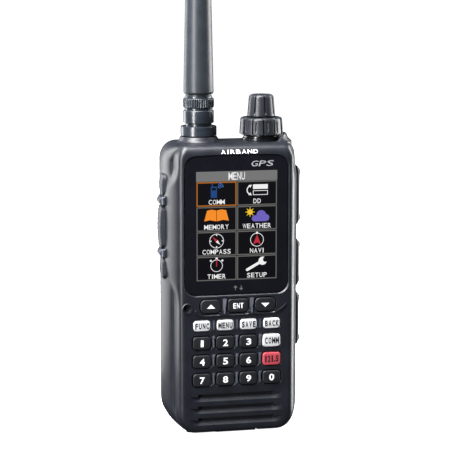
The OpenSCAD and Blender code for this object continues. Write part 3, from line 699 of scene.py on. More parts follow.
def pad_piece():
    """The raised racetrack around the three side keys, with a pointed bump between each two."""
    ptt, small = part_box("ptt_button"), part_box("side_button_upper")
    low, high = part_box("side_button_lower")[0].z, small[1].z
    pad_x = ptt[0].x + 1.0 * MM
    place = (pad_x, PAD_MIDDLE_Y, (low + high) / 2)
    size = (PAD_WIDTH, high - low + 1.4 * MM)
    solid = pile("pad", size, 5.7 * MM, in_mm((-5, 0.3), (-0.5, 0.3), (-0.12, 0.12), (0, -0.1)),
                 facing="left", at=place, segments=12)
    hollow = pile("pad_hollow", size, 5.2 * MM, in_mm((-1.1, -0.85), (-0.1, -0.65), (0.5, -0.3)),
                  facing="left", at=place, segments=12)
    boolean(solid, [hollow])
    reach = (small[0].z - ptt[1].z) / 2 + DIVIDER_LAP
    levels = [*in_mm((-1.6, 0.2), (-0.5, 0), (0.2, -0.55)),
              (0.75 * MM, -reach * 0.62), (0.95 * MM, -reach * 0.85)]
    for z in (ptt[0].z + DIVIDER_LAP - reach, ptt[1].z - DIVIDER_LAP + reach):
        bump = pile("divider", (DIVIDER_WIDTH, 2 * reach), 0.8 * MM, levels,
                    facing="left", at=(pad_x, -0.7 * MM, z))
        boolean(solid, [bump], "UNION")
    return solid


def side_key_openings():
    holes = []
    for node in SIDE_KEYS:
        low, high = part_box(node)
        middle = (low + high) / 2
        size = (high.y - low.y - 1.1 * MM, high.z - low.z - 1.1 * MM)
        holes.append(pile("hole", size, 3.0 * MM, ((-8 * MM, 0), (3 * MM, 0)), facing="left",
                          at=(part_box("front_shell")[0].x, middle.y, middle.z), segments=10))
    return holes


GUARD_START = math.radians(-72)
GUARD_SWEEP = math.radians(132)
GUARD_RISE = math.radians(38)
GUARD_FALL = math.radians(30)


def knob_guard():
    """A fin that rises beside the dial from the shoulder of the case."""
    axis = middle_of("volume_knob")
    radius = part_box("dial_knob")[1].x - axis.x
    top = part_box("front_shell")[1].z - DECK_Z
    inner, outer, foot = radius + 0.4 * MM, radius + 1.7 * MM, -2.5 * MM
    profile = ((inner, foot), (inner, top - 0.3 * MM), (inner + 0.35 * MM, top), (outer - 0.35 * MM, top),
               (outer, top - 0.4 * MM), (outer + 0.5 * MM, 1.2 * MM), (outer + 2.2 * MM, -0.4 * MM),
               (outer + 2.2 * MM, foot))
    stop = GUARD_START + GUARD_SWEEP
    bpy.ops.mesh.primitive_circle_add(vertices=len(profile), fill_type="NGON")
    obj = new_piece("guard")
    for vertex, (r, z) in zip(obj.data.vertices, profile):
        vertex.co = (axis.x + r * math.cos(stop), axis.y + r * math.sin(stop), DECK_Z + z)
    edit(obj)
    bpy.ops.mesh.select_all(action="SELECT")
    bpy.ops.mesh.spin(steps=44, angle=GUARD_SWEEP, center=(axis.x, axis.y, 0), axis=(0, 0, 1))
    leave_edit()
    for vertex in obj.data.vertices:
        angle = math.atan2(vertex.co.y - axis.y, vertex.co.x - axis.x)
        share = smoothstep(GUARD_START, GUARD_START + GUARD_RISE, angle)
        share *= 1 - smoothstep(stop - GUARD_FALL, stop, angle)
        above = vertex.co.z - DECK_Z
        if above > 0:
            vertex.co.z = DECK_Z + above * share - (1 - share) * 0.5 * MM
    return outwards(obj)


def antenna_boss():
    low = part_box("antenna_collar")[0]
    axis = middle_of("antenna_collar")
    top = low.z - 0.3 * MM - DECK_Z
    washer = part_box("antenna_seal")[1].x - axis.x + 0.3 * MM
    profile = [*in_mm((-2, 9.9), (0, 9.9), (0.25, 9.35), (0.7, 8.95), (1.5, 8.6)),
               (top - 0.35 * MM, 8.3 * MM), (top - 0.1 * MM, 8.15 * MM), (top, 7.9 * MM),
               (top, washer), (top - 0.9 * MM, washer)]
    return turned("boss", [(DECK_Z + z, r) for z, r in profile], at=(axis.x, axis.y))


def keypad_ridges():
    """Wedges between the keys, the tray under the menu keys and the ring of the microphone."""
    ridges = []
    rows = [key_size(n)[0].z for n in ("key_7", "key_4", "key_1")]
    columns = [key_size(n)[0].x for n in ("key_7", "key_8", "key_9", "key_0")]
    for z in rows:
        for a, b in zip(columns, columns[1:]):
            ridges.append(wedge((a + b) / 2, z + 3.2 * MM, z - 2.2 * MM, 0.60 * MM, 0.22 * MM, 0.75 * MM))
    z = key_size("key_func")[0].z
    for a, b in zip(columns, columns[1:]):
        ridges.append(wedge((a + b) / 2, z + 2.3 * MM, z - 1.9 * MM, 0.42 * MM, 0.30 * MM, 0.5 * MM))
    middle_x, nav_z = key_size("key_enter")[0].x, key_size("key_enter")[0].z
    half = (key_size("key_down")[0].x - middle_x) / 2
    for side in (-1, 1):
        ridges.append(wedge(middle_x + side * half, nav_z + 3.4 * MM, nav_z - 3.4 * MM,
                            0.85 * MM, 0.30 * MM, 1.0 * MM))
    ridges.append(tray_rim())
    mic = middle_of("microphone")
    ring_profile = in_mm((-1, 2.6), (0.05, 2.6), (0.28, 2.25), (0.22, 1.95), (-1, 1.75))
    ridges.append(turned("mic_ring", ring_profile, at=(mic.x, FACE_Y), facing="front", up=mic.z, sides=40))
    return ridges


def wedge(x, top_z, low_z, top_half, low_half, height):
    """A ridge on the face that narrows downwards; its broad side leans to the left and upwards."""
    bpy.ops.mesh.primitive_cube_add(size=1)
    obj = new_piece("wedge")
    for vertex in obj.data.vertices:
        side = 1 if vertex.co.x > 0 else -1
        top, crest = vertex.co.z > 0, vertex.co.y < 0
        half = top_half if top else low_half
        proud = (height if top else 0.35 * height) if side > 0 else 0.08 * height
        vertex.co = (x + side * half, FACE_Y - proud if crest else FACE_Y + 0.8 * MM,
                     top_z if top else low_z)
    return obj


TRAY_LINE = ((-18.9, 58.0, 0.35), (-18.6, 56.4, 0.55), (-17.4, 55.3, 0.6), (-15.5, 55.05, 0.55),
             (-6, 55.1, 0.5), (6, 55.2, 0.5), (15, 55.3, 0.5), (18.0, 55.6, 0.62), (20.0, 56.6, 0.95),
             (21.8, 58.0, 0.9), (23.2, 59.7, 0.3))


def tray_rim():
    """The thin curved ridge under the menu keys; each point is (x, z, width) in millimetres."""
    steps = 60
    points = []
    for k in range(steps + 1):
        s = k / steps * (len(TRAY_LINE) - 1)
        i = min(int(s), len(TRAY_LINE) - 2)
        u = s - i
        points.append([a + (b - a) * u for a, b in zip(TRAY_LINE[i], TRAY_LINE[i + 1])])
    bpy.ops.mesh.primitive_cube_add(size=1)
    obj = new_piece("tray")
    edit(obj)
    pick(obj, "EDGE", lambda e: abs(e.verts[0].co.x - e.verts[1].co.x) > 0.5)
    bpy.ops.mesh.subdivide(number_cuts=steps - 1)
    leave_edit()
    for vertex in obj.data.vertices:
        k = round((vertex.co.x + 0.5) * steps)
        before, after = points[max(0, k - 1)], points[min(steps, k + 1)]
        along = Vector((after[0] - before[0], after[1] - before[1])).normalized()
        across = Vector((-along.y, along.x))
        x, z, width = points[k]
        crest = vertex.co.y < 0
        side = (1 if vertex.co.z > 0 else -1) * width * (0.35 if crest else 0.8)
        height = 0.5 * smoothstep(0, 4, k) * smoothstep(0, 4, steps - k)
        vertex.co = (MM * (x + across.x * side), FACE_Y + (-height if crest else 1.0) * MM,
                     MM * (z + across.y * side))
    return outwards(obj)


def worn_edges(shell):
    """Paints a highlight on the ridges between the keys and on the side pad's front wall: they get a paler,
    glossier copy of the case plastic that stands in for the light they catch.
    """
    top, low = key_size("key_enter")[0].z + 5 * MM, key_size("key_7")[0].z - 5 * MM
    edge = key_size("key_3")[0].x + 8 * MM
    shell.data.materials.append(MATERIALS["case_edge"])
    for polygon in shell.data.polygons:
        place, normal = polygon.center, polygon.normal
        ridge = low < place.z < top and -edge < place.x < edge and place.y < FACE_Y + 0.3 * MM
        pad = place.x < -FLANK_X - 0.1 * MM and normal.y < 0.2
        if (ridge and abs(normal.x) > 0.3) or (pad and normal.x > -0.9):
            polygon.material_index = 1


class RADIO_OT_front_shell(bpy.types.Operator):
    """Builds the front shell with its keypad, window, grille, key pad, boss and guard"""

    bl_idname = "radio.front_shell"
    bl_label = "Front shell"

    def execute(self, context):
        wall = context.scene.radio_case.wall
        shell = keep_side(case_body("radio_front_shell"), (0, SEAM_Y, 0), (0, 1, 0))
        boolean(shell, [pad_piece()], "UNION")
        boolean(shell, [knob_guard()], "UNION")
        boolean(shell, [antenna_boss()], "UNION")
        boolean(shell, keypad_ridges(), "UNION")
        boolean(shell, [case_body("hollow", wall)])
        boolean(shell, key_holes(3 * MM))
        boolean(shell, side_key_openings())
        window = in_mm((-1.75, 0), (-0.5, 0), (0, 0.45), (0.5, 0.9))
        boolean(shell, [lens_solid("window", 0.28 * MM, window)])
        for slot in grille_slots():
            boolean(shell, [slot])
        mic = middle_of("microphone")
        for profile, x, sides in ((in_mm((-1.2, 1.25), (0.6, 2.0)), mic.x, 40),
                                  (in_mm((-3, 0.45), (-0.5, 0.45)), mic.x - 0.4 * MM, 24)):
            boolean(shell, [turned("hole", profile, at=(x, FACE_Y), facing="front", up=mic.z, sides=sides)])
        for middle, radius, top in (
                (middle_of("antenna_collar"), 3.4 * MM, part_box("antenna_connector")[1].z),
                (middle_of("volume_knob"), 4.7 * MM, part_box("encoder_body")[1].z)):
            boolean(shell, [turned("bore", ((DECK_Z - 4 * MM, radius), (top, radius)),
                                   at=(middle.x, middle.y))])
        low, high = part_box("battery_latch")
        gap = 0.3 * MM
        boolean(shell, [box_piece("channel", (low.x - gap, low.y - 3 * MM, -1 * MM),
                                  (high.x + gap, SEAM_Y + 1 * MM, high.z + gap))])
        for jack in ("mic_jack", "power_jack"):
            middle = middle_of(jack)
            boolean(shell, [turned("bore", in_mm((20, 3.2), (40, 3.2)), at=(0, middle.y),
                                   facing="right", up=middle.z, sides=48)])
        middle = middle_of("data_jack")
        boolean(shell, [pile("bore", (5 * MM, 9.6 * MM), 1 * MM, in_mm((20, 0), (40, 0)),
                             facing="right", at=(0, middle.y, middle.z))])
        feet = [turned("foot", in_mm((0, 1.2), (0.25, 1.6), (3, 1.6)),
                       at=(side * FOOT_X, FACE_Y + 7.4 * MM), sides=32) for side in (-1, 1)]
        boolean(shell, feet, "UNION")
        dress(shell, MATERIALS["case_plastic"], "radio", ["front_shell"])
        # Paints the highlight on the ridges between the keys and on the side pad's front wall.
        worn_edges(shell)
        return {"FINISHED"}


# ---- Display ----

def flat(points, colour_name, height):
    """A flat patch of the picture from its corners (x, z) in millimetres about the picture's middle."""
    bpy.ops.mesh.primitive_circle_add(vertices=len(points), fill_type="NGON")
    obj = new_piece("patch")
    middle_z = bpy.context.scene.radio_display.picture_z
    for vertex, (x, z) in zip(obj.data.vertices, points):
        vertex.co = (x * MM, 0, z * MM)
    obj.location = (0, LENS_LOW.y - height, middle_z)
    settle(obj)
    face = obj.data.polygons[0]
    if face.normal.y > 0:
        obj.data.flip_normals()
    obj.data.materials.append(MATERIALS["screen_" + colour_name])
    return obj


def bar(x0, z0, x1, z1, colour_name, height=0.02 * MM):
    return flat(((x0, z0), (x1, z0), (x1, z1), (x0, z1)), colour_name, height)


def disc(x, z, radius, colour_name, height=0.03 * MM, sides=32):
    return flat([(x + radius * math.cos(math.tau * k / sides), z + radius * math.sin(math.tau * k / sides))
                 for k in range(sides)], colour_name, height)


def ring(x, z, radius, width, colour_name, height=0.03 * MM):
    return [disc(x, z, radius, colour_name, height), disc(x, z, radius - width, "dark", height + 0.004 * MM)]


def border(x0, z0, x1, z1, width, colour_name, height=0.02 * MM):
    return [bar(*edges, colour_name, height) for edges in (
        (x0, z1 - width, x1, z1), (x0, z0, x1, z0 + width),
        (x0, z0, x0 + width, z1), (x1 - width, z0, x1, z1))]


def stroke(x0, z0, x1, z1, width, colour_name, height=0.036 * MM):
    """A straight line of the given width between two points."""
    along = Vector((x1 - x0, z1 - z0)).normalized() * width / 2
    across = Vector((-along.y, along.x))
    return flat(((x0 + across.x, z0 + across.y), (x0 - across.x, z0 - across.y),
                 (x1 - across.x, z1 - across.y), (x1 + across.x, z1 + across.y)), colour_name, height)


def arc(x, z, radius, width, start, stop, colour_name, height=0.03 * MM, steps=12):
    """A curved stroke about (x, z), angles in degrees."""
    angles = [math.radians(start + (stop - start) * k / steps) for k in range(steps + 1)]
    corners = [(radius, a) for a in angles] + [(radius - width, a) for a in reversed(angles)]
    return flat([(x + r * math.cos(a), z + r * math.sin(a)) for r, a in corners], colour_name, height)


LETTER_WIDTH = {"I": 0.30, "1": 0.55, "M": 1.18, "W": 1.18}
LETTER_STEP = {".": 0.45, "1": 0.75, "I": 0.6}


def glyph(letter, width, height, bold):
    """One letter as a mesh in the xz plane, fitted to a width and a height about the origin."""
    bpy.ops.object.text_add()
    obj = bpy.context.object
    obj.data.body = letter
    obj.data.size = height * 1.4
    obj.data.offset = 0.3 * bold if letter in "MW1" else bold
    obj.data.resolution_u = 3
    focus(obj)
    bpy.ops.object.convert(target="MESH")
    corners = [vertex.co for vertex in obj.data.vertices]
    low = [min(c[i] for c in corners) for i in (0, 1)]
    high = [max(c[i] for c in corners) for i in (0, 1)]
    narrow = LETTER_WIDTH.get(letter, 1.0)
    wide = (high[0] - low[0]) if letter == "." else width * narrow
    tall = (high[1] - low[1]) if letter == "." else height
    for vertex in obj.data.vertices:
        x = (vertex.co.x - (low[0] + high[0]) / 2) * wide / (high[0] - low[0])
        z = (vertex.co.y - (low[1] + high[1]) / 2) * tall / (high[1] - low[1])
        vertex.co = (x, 0, z - ((height - tall) / 2 if letter == "." else 0))
    return obj


def words(text, x, z, width, height, material, y, pitch=None, bold=0.04 * MM, slant=0.0):
    """Text as a mesh on the front, letter by letter, its middle at (x, z)."""
    pitch = pitch or width * 1.18
    letters = []
    steps = [LETTER_STEP.get(letter, 1.0) if len(text) > 1 else 1.0 for letter in text]
    along = -pitch * sum(steps) / 2
    for letter, step in zip(text, steps):
        obj = glyph(letter, width, height, bold)
        for vertex in obj.data.vertices:
            vertex.co.x += x + along + pitch * step / 2 + vertex.co.z * slant
            vertex.co.y = y
            vertex.co.z += z
        along += pitch * step
        letters.append(obj)
    obj = join("words", letters)
    obj.data.materials.clear()
    obj.data.materials.append(material)
    return obj


def screen_word(text, x, z, width=1.55, height=2.15, pitch=1.88):
    middle_z = bpy.context.scene.radio_display.picture_z
    return words(text, x * MM, middle_z + z * MM, width * MM, height * MM, MATERIALS["screen_white"],
                 LENS_LOW.y - 0.04 * MM, pitch * MM, 0.05 * MM)


def icon_radio(x, z):
    return [bar(x - 2.6, z - 2.9, x + 0.2, z + 2.1, "blue", 0.03 * MM),
            bar(x - 2.2, z + 2.0, x - 1.7, z + 3.4, "blue"),
            bar(x - 2.1, z + 0.4, x - 0.3, z + 1.5, "dark", 0.036 * MM),
            *(arc(x + 0.4, z + 1.0, r, 0.45, 15, 80, "pale_blue") for r in (1.2, 2.1, 3.0))]


def icon_swap(x, z):
    return [bar(x - 1.9, z + 0.5, x + 4.9, z + 2.6, "white"),
            *border(x - 1.9, z - 2.2, x + 4.9, z - 0.1, 0.3, "white"),
            arc(x - 2.6, z + 0.1, 2.2, 0.5, 115, 245, "white"),
            flat(((x - 4.0, z + 2.3), (x - 3.0, z + 1.1), (x - 2.4, z + 2.5)), "white", 0.03 * MM),
            flat(((x - 4.0, z - 2.1), (x - 2.4, z - 2.3), (x - 3.0, z - 0.9)), "white", 0.03 * MM)]


def icon_book(x, z):
    left = [(x - 5.6, z - 2.2), (x - 3.0, z - 1.7), (x - 0.1, z - 2.3),
            (x - 0.1, z + 2.6), (x - 2.2, z + 3.0), (x - 4.3, z + 2.6)]
    right = [(2 * x - a, b) for a, b in reversed(left)]
    return [flat(left, "orange", 0.03 * MM), flat(right, "orange", 0.03 * MM)]


def icon_weather(x, z):
    rays = [stroke(x - 3.2, z + 1.4, x - 3.2 + 2.1 * math.cos(a), z + 1.4 + 2.1 * math.sin(a), 0.35, "yellow")
            for a in (math.tau * k / 8 for k in range(8))]
    return rays + [disc(x - 3.2, z + 1.4, 1.25, "yellow", 0.046 * MM), disc(x - 1.0, z - 1.5, 1.4, "purple"),
                   disc(x + 1.9, z - 0.1, 2.2, "purple", 0.034 * MM),
                   disc(x + 4.0, z - 1.3, 1.6, "purple", 0.038 * MM),
                   bar(x - 1.0, z - 2.9, x + 4.0, z - 1.3, "purple", 0.042 * MM)]


def icon_compass(x, z):
    marks = [disc(x + 2.6 * a, z + 2.6 * b, 0.35, "white", 0.04 * MM, 8) for a, b in
             ((0, 1), (1, 0), (0, -1), (-1, 0))]
    return [*ring(x, z, 3.3, 0.3, "white"), *marks,
            flat(((x - 2.0, z + 2.0), (x + 0.5, z + 0.4), (x - 0.4, z - 0.5)), "red", 0.042 * MM),
            flat(((x + 1.8, z - 1.8), (x - 0.4, z - 0.5), (x + 0.5, z + 0.4)), "white", 0.042 * MM)]


def icon_heading(x, z):
    return [*ring(x, z, 3.1, 0.3, "white"), disc(x, z + 3.1, 0.55, "white", 0.04 * MM, 12),
            flat(((x, z + 2.4), (x - 1.8, z - 2.1), (x, z - 1.2), (x + 1.8, z - 2.1)), "red", 0.042 * MM)]


def icon_timer(x, z):
    return [*ring(x, z, 2.8, 0.3, "white"), bar(x - 0.5, z + 2.8, x + 0.5, z + 3.7, "white", 0.04 * MM),
            disc(x - 2.6, z + 2.3, 0.5, "white", 0.04 * MM, 10),
            disc(x + 2.6, z + 2.3, 0.5, "white", 0.04 * MM, 10),
            stroke(x, z - 0.4, x, z + 3.0, 0.4, "red", 0.044 * MM)]


def icon_wrench(x, z):
    return [stroke(x - 4.4, z - 2.3, x + 1.6, z + 1.0, 1.3, "white"), disc(x - 4.4, z - 2.3, 0.65, "white"),
            disc(x + 2.6, z + 1.5, 1.9, "white"), disc(x + 3.9, z + 2.1, 1.15, "dark", 0.04 * MM)]


MENU_CELLS = (("COMM", icon_radio), ("DD", icon_swap), ("MEMORY", icon_book),
              ("WEATHER", icon_weather), ("COMPASS", icon_compass), ("NAVI", icon_heading),
              ("TIMER", icon_timer), ("SETUP", icon_wrench))
MENU_HEADER = 4.5
CELL_MARGIN = 0.12


def menu_picture():
    """The lit menu: a header and two columns of four cells."""
    display = bpy.context.scene.radio_display
    half_w, half_h = display.picture_width / MM / 2, display.picture_height / MM / 2
    pitch = (2 * half_h - MENU_HEADER) / 4
    patches = [bar(-half_w, -half_h, half_w, half_h, "dark", 0.01 * MM),
               bar(-half_w, half_h - MENU_HEADER, half_w, half_h, "grey"),
               screen_word("MENU", 0, half_h - MENU_HEADER / 2, 1.6, 3.4, 1.9)]
    for i, (label, icon) in enumerate(MENU_CELLS):
        column, row = i % 2, i // 2
        x0 = -half_w + column * half_w
        z1 = half_h - MENU_HEADER - row * pitch
        frame_style = (0.5, "line", 0.02 * MM) if i else (0.6, "frame_orange", 0.024 * MM)
        patches += border(x0 + CELL_MARGIN, z1 - pitch + CELL_MARGIN,
                          x0 + half_w - CELL_MARGIN, z1 - CELL_MARGIN, *frame_style)
        patches += icon(x0 + half_w / 2, z1 - 4.3)
        patches.append(screen_word(label, x0 + half_w / 2, z1 - pitch + 2.0))
    return patches


class RADIO_OT_display(bpy.types.Operator):
    """Builds the glass and the lit menu behind it"""

    bl_idname = "radio.display"
    bl_label = "Display"

    def execute(self, context):
        front = FACE_Y - LENS_LOW.y
        back = FACE_Y - LENS_HIGH.y
        lens = lens_solid("glass", 0, ((back, -0.05 * MM), (front - 0.3 * MM, 0),
                                       (front - 0.2 * MM, -0.05 * MM), (front, -0.6 * MM)))
        dress(lens, MATERIALS["lens_gloss"], "radio", ["display_lens"])
        picture = join("menu_picture", menu_picture())
        dress(picture, None, "radio", angle=0)
        marks = [words("GPS", 11.6 * MM, 122.7 * MM, 3.0 * MM, 2.5 * MM, MATERIALS["legend_grey"],
                       LENS_LOW.y - 0.02 * MM, 3.5 * MM, 0.03 * MM, 0.3)]
        middle_z = context.scene.radio_display.picture_z / MM
        for x, up in ((-0.6, 1), (2.0, -1)):
            z = 67.1 - middle_z
            marks += [stroke(x, z - up * 1.0, x, z + up * 0.2, 0.35, "grey"),
                      flat(((x - 0.9, z + up * 0.1), (x + 0.9, z + up * 0.1), (x, z + up * 1.2)), "grey",
                           0.036 * MM)]
        dress(join("glass_marks", marks), None, "radio", angle=0)
        brand = words("AIRBAND", 1.2 * MM, 128.1 * MM, 2.1 * MM, 1.75 * MM, MATERIALS["legend_white"], 0,
                      2.6 * MM, 0.05 * MM)
        lay_on_face(brand)
        dress(brand, None, "radio", angle=0)
        return {"FINISHED"}


def lay_on_face(obj):
    """Moves a flat marking back onto the front shell, which curves away under it."""
    shell = bpy.data.objects["radio_front_shell"]
    for vertex in obj.data.vertices:
        hit, place, _, _ = shell.ray_cast((vertex.co.x, -0.1, vertex.co.z), (0, 1, 0))
        if hit:
            vertex.co.y = place.y - 0.12 * MM
    obj.data.update()


# ---- Keys ----

LEGEND_HEIGHT = 0.015 * MM


def key_cap(node, material):
    """A key with a rounded edge and a slightly crowned top."""
    middle, size, corner = key_size(node)
    low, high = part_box(node)
    r = bpy.context.scene.radio_keys.rounding
    top = FACE_Y - low.y
    foot = FACE_Y - high.y
    levels = [(foot, 0.6 * MM), (foot + 0.7 * MM, 0.6 * MM), (foot + 0.75 * MM, 0), (top - r - 0.06 * MM, 0)]
    levels += [(top - 0.06 * MM - r * (1 - math.sin(a)), -r * (1 - math.cos(a)))
               for a in (math.radians(d) for d in (25, 48, 68, 90))]
    levels += [(top, -r - 0.9 * MM)]
    cap = pile("cap_" + node, size, corner, levels, at=(middle.x, FACE_Y, middle.z), segments=6)
    return dress(cap, material)


def arrow(node, up):
    middle, _, _ = key_size(node)
    bpy.ops.mesh.primitive_circle_add(vertices=3, fill_type="NGON")
    obj = new_piece("arrow")
    x, z = middle.x, middle.z
    corners = ((-1.9, -0.8), (1.9, -0.8), (0, 1.05))
    for vertex, (a, b) in zip(obj.data.vertices, corners):
        vertex.co = (x + a * MM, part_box(node)[0].y - LEGEND_HEIGHT, z + up * b * MM)
    obj.data.update()
    if obj.data.polygons[0].normal.y > 0:
        obj.data.flip_normals()
    obj.data.materials.append(MATERIALS["legend_white"])
    return obj


class RADIO_OT_keypad(bpy.types.Operator):
    """Builds the nineteen key caps with their legends"""

    bl_idname = "radio.keypad"
    bl_label = "Keypad"

    def execute(self, context):
        for node, text in {**NUMBER_KEYS, **WORD_KEYS, **NAV_KEYS}.items():
            middle, _, _ = key_size(node)
            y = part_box(node)[0].y - LEGEND_HEIGHT
            slot = "key_white" if node in WORD_KEYS else "key_black"
            if node == "key_emergency":
                slot = "key_red"
            cap = key_cap(node, MATERIALS[slot])
            if node in NUMBER_KEYS:
                mark = words(text, middle.x, middle.z, 2.35 * MM, 3.1 * MM, MATERIALS["legend_white"], y,
                             bold=0.12 * MM)
            elif node in WORD_KEYS:
                tall = 2.7 * MM if middle.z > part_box("key_comm")[1].z else 3.0 * MM
                mark = words(text, middle.x, middle.z, 1.25 * MM, tall, MATERIALS["legend_dark"], y,
                             1.68 * MM, 0.15 * MM)
            elif text == "ENT":
                mark = words(text, middle.x, middle.z, 1.3 * MM, 2.5 * MM, MATERIALS["legend_white"], y,
                             1.65 * MM, 0.08 * MM)
            else:
                mark = arrow(node, 1 if text == "up" else -1)
            piece = join("cap_" + node, [cap, mark])
            dress(piece, None, node, [node], angle=0)
        return {"FINISHED"}


# ---- Side keys ----

def side_key(node, body):
    """A crowned rubber key with slanting wavy ridges."""
    low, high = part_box(node)
    middle = (low + high) / 2
    flange = 0.8 * MM
    half_w = (high.y - low.y) / 2 - flange
    half_h = (high.z - low.z) / 2 - flange
    columns, rows = 36, max(40, int(half_h / MM * 9))
    bpy.ops.mesh.primitive_grid_add(x_subdivisions=columns, y_subdivisions=rows, size=2)
    obj = new_piece("rubber_" + node)
    corner = 2.7 * MM
    crown = 1.0 * MM
    for vertex in obj.data.vertices:
        u, v = vertex.co.x, vertex.co.y
        z = v * half_h
        reach = half_w
        beyond = abs(z) - (half_h - corner)
        if beyond > 0:
            reach -= corner - math.sqrt(max(0.0, corner ** 2 - min(beyond, corner) ** 2))
        y = u * reach
        edge = min(1.0, (1 - max(abs(u), abs(v) ** 3)) * 5)
        fall = crown * (0.25 * (y / half_w) ** 2 + 0.75 * (z / half_h) ** 2)
        wave = math.sin((z + 0.9 * y + 0.35 * MM * math.sin(y / MM * 1.6)) / MM * 2.9)
        height = -fall - 0.45 * MM * (1 - edge) ** 2 + 0.16 * MM * (wave - 1) * edge
        vertex.co = (y, z, height)
    edit(obj)
    bpy.ops.mesh.select_all(action="SELECT")
    bpy.ops.mesh.region_to_loop()
    bpy.ops.mesh.extrude_region_move(TRANSFORM_OT_translate={"value": (0, 0, -1)})
    leave_edit()
    foot = -(high.x - low.x) + 0.2 * MM
    for vertex in obj.data.vertices:
        if vertex.co.z < -0.5:
            vertex.co.z = foot
    edit(obj)
    pick(obj, "EDGE", lambda e: e.is_boundary)
    bpy.ops.mesh.fill()
    leave_edit()
    obj.rotation_euler = Euler(FACING["left"])
    obj.location = (low.x, middle.y, middle.z)
    outwards(settle(obj))
    return dress(obj, MATERIALS["side_key_rubber"], body, [node], angle=45)


class RADIO_OT_side_keys(bpy.types.Operator):
    """Builds the push-to-talk key and the two small side keys"""

    bl_idname = "radio.side_keys"
    bl_label = "Side keys"

    def execute(self, context):
        for node, body in SIDE_KEYS.items():
            side_key(node, body)
        return {"FINISHED"}


# ---- Jack covers ----

class RADIO_OT_jack_covers(bpy.types.Operator):
    """Builds the three rubber covers of the right flank"""

    bl_idname = "radio.jack_covers"
    bl_label = "Jack covers"

    def execute(self, context):
        for node, body in JACK_COVERS.items():
            low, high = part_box(node)
            cover = self.cover(node, low, high)
            dress(cover, MATERIALS["cover_rubber"], body, [node])
        return {"FINISHED"}

    def cover(self, node, low, high):
        front, back = -6.6 * MM, SEAM_Y - 1.1 * MM
        size = (back - front, high.z - low.z)
        middle = ((front + back) / 2, (low.z + high.z) / 2)
        x = FLANK_X + 0.3 * MM
        place = (x, *middle)
        levels = in_mm((0, 0), (0.35, -0.05), (0.7, -0.25), (0.95, -0.6), (1.12, -1.1), (1.2, -1.9))
        plate = pile("rubber_" + node, size, 2 * MM, levels, facing="right", at=place, segments=8)
        panel = pile("panel", (size[0] - 3 * MM, size[1] - 9.5 * MM), 1.2 * MM,
                     in_mm((0.95, 0), (1.3, 0.2)), facing="right", at=place)
        boolean(plate, [panel])
        for side in (-1, 1):
            bump = pile("bump", (5.8 * MM, 3.8 * MM), 1.5 * MM,
                        in_mm((0.4, 0), (1.1, 0), (1.5, -0.2), (1.7, -0.6)),
                        facing="right", at=(x, -1 * MM, middle[1] + side * (size[1] / 2 - 2.6 * MM)))
            boolean(plate, [bump], "UNION")
        jack = (1.7 if node == "data_jack_cover" else 2.2) * MM
        stub = turned("stub", ((-1.35 * MM, jack - 0.2 * MM), (-1.1 * MM, jack), (0.3 * MM, jack)),
                      at=(x, -1 * MM), facing="right", up=middle[1], sides=40)
        boolean(plate, [stub], "UNION")
        for vertex in plate.data.vertices:
            fall = smoothstep(size[1] / 2 - 2.6 * MM, size[1] / 2, abs(vertex.co.z - middle[1]))
            if vertex.co.x > x:
                vertex.co.x -= (vertex.co.x - x) * 0.6 * fall
            vertex.co.x -= flank_drop(vertex.co.y)
        return plate


def flank_drop(y):
    """How far the right flank has fallen away from its widest at y, beside the covers."""
    depth = (y - FACE_Y) / MM
    inset = [along_curve(BULGE, t / 60) for t in range(61)]
    before = [p for p in inset if p[1] <= depth][-1]
    after = [p for p in inset if p[1] > depth][0]
    share = (depth - before[1]) / (after[1] - before[1])
    return MM * (before[0] + (after[0] - before[0]) * share)


# ---- Knobs ----

def groove(obj, axis, count, first, half_width, depth, low_z, high_z):
    """Presses finger grooves into a turned piece, each with soft edges and a rounded foot."""
    for vertex in obj.data.vertices:
        offset = Vector((vertex.co.x - axis.x, vertex.co.y - axis.y))
        radius = offset.length
        if radius < half_width * 1.5:
            continue
        angle = math.degrees(math.atan2(offset.y, offset.x)) - first
        step = 360 / count
        away = abs((angle + step / 2) % step - step / 2)
        across = math.radians(away) * radius / half_width
        share = (1 - smoothstep(0.45, 1.25, across)) * smoothstep(low_z, low_z + 0.9 * MM, vertex.co.z)
        share *= 1 if high_z is None else 1 - smoothstep(high_z - 0.6 * MM, high_z, vertex.co.z)
        pull = depth * share
        vertex.co.x -= offset.x / radius * pull
        vertex.co.y -= offset.y / radius * pull


def rounded_knob(name, low, high, foot_r, top_r, bore_r, bore_z, edge, axis, sides):
    """A tapering knob: a soft foot, straight walls and a rounded top, with a blind bore from below."""
    height = high - low
    profile = [(bore_z, bore_r), (low, bore_r), (low, foot_r - 0.35 * MM),
               (low + 0.2 * MM, foot_r - 0.08 * MM), (low + 0.45 * MM, foot_r)]
    walls = 16
    for k in range(1, walls):
        share = k / walls
        z = low + 0.45 * MM + (height - edge - 0.45 * MM) * share
        profile.append((z, foot_r + (top_r - foot_r) * share))
    for d in (0, 20, 40, 60, 78):
        a = math.radians(d)
        profile.append((high - edge + edge * math.sin(a), top_r - edge * (1 - math.cos(a))))
    profile += [(high, top_r - edge * 1.3), (high, top_r - edge * 2.2)]
    return turned(name, profile, at=(axis.x, axis.y), sides=sides)


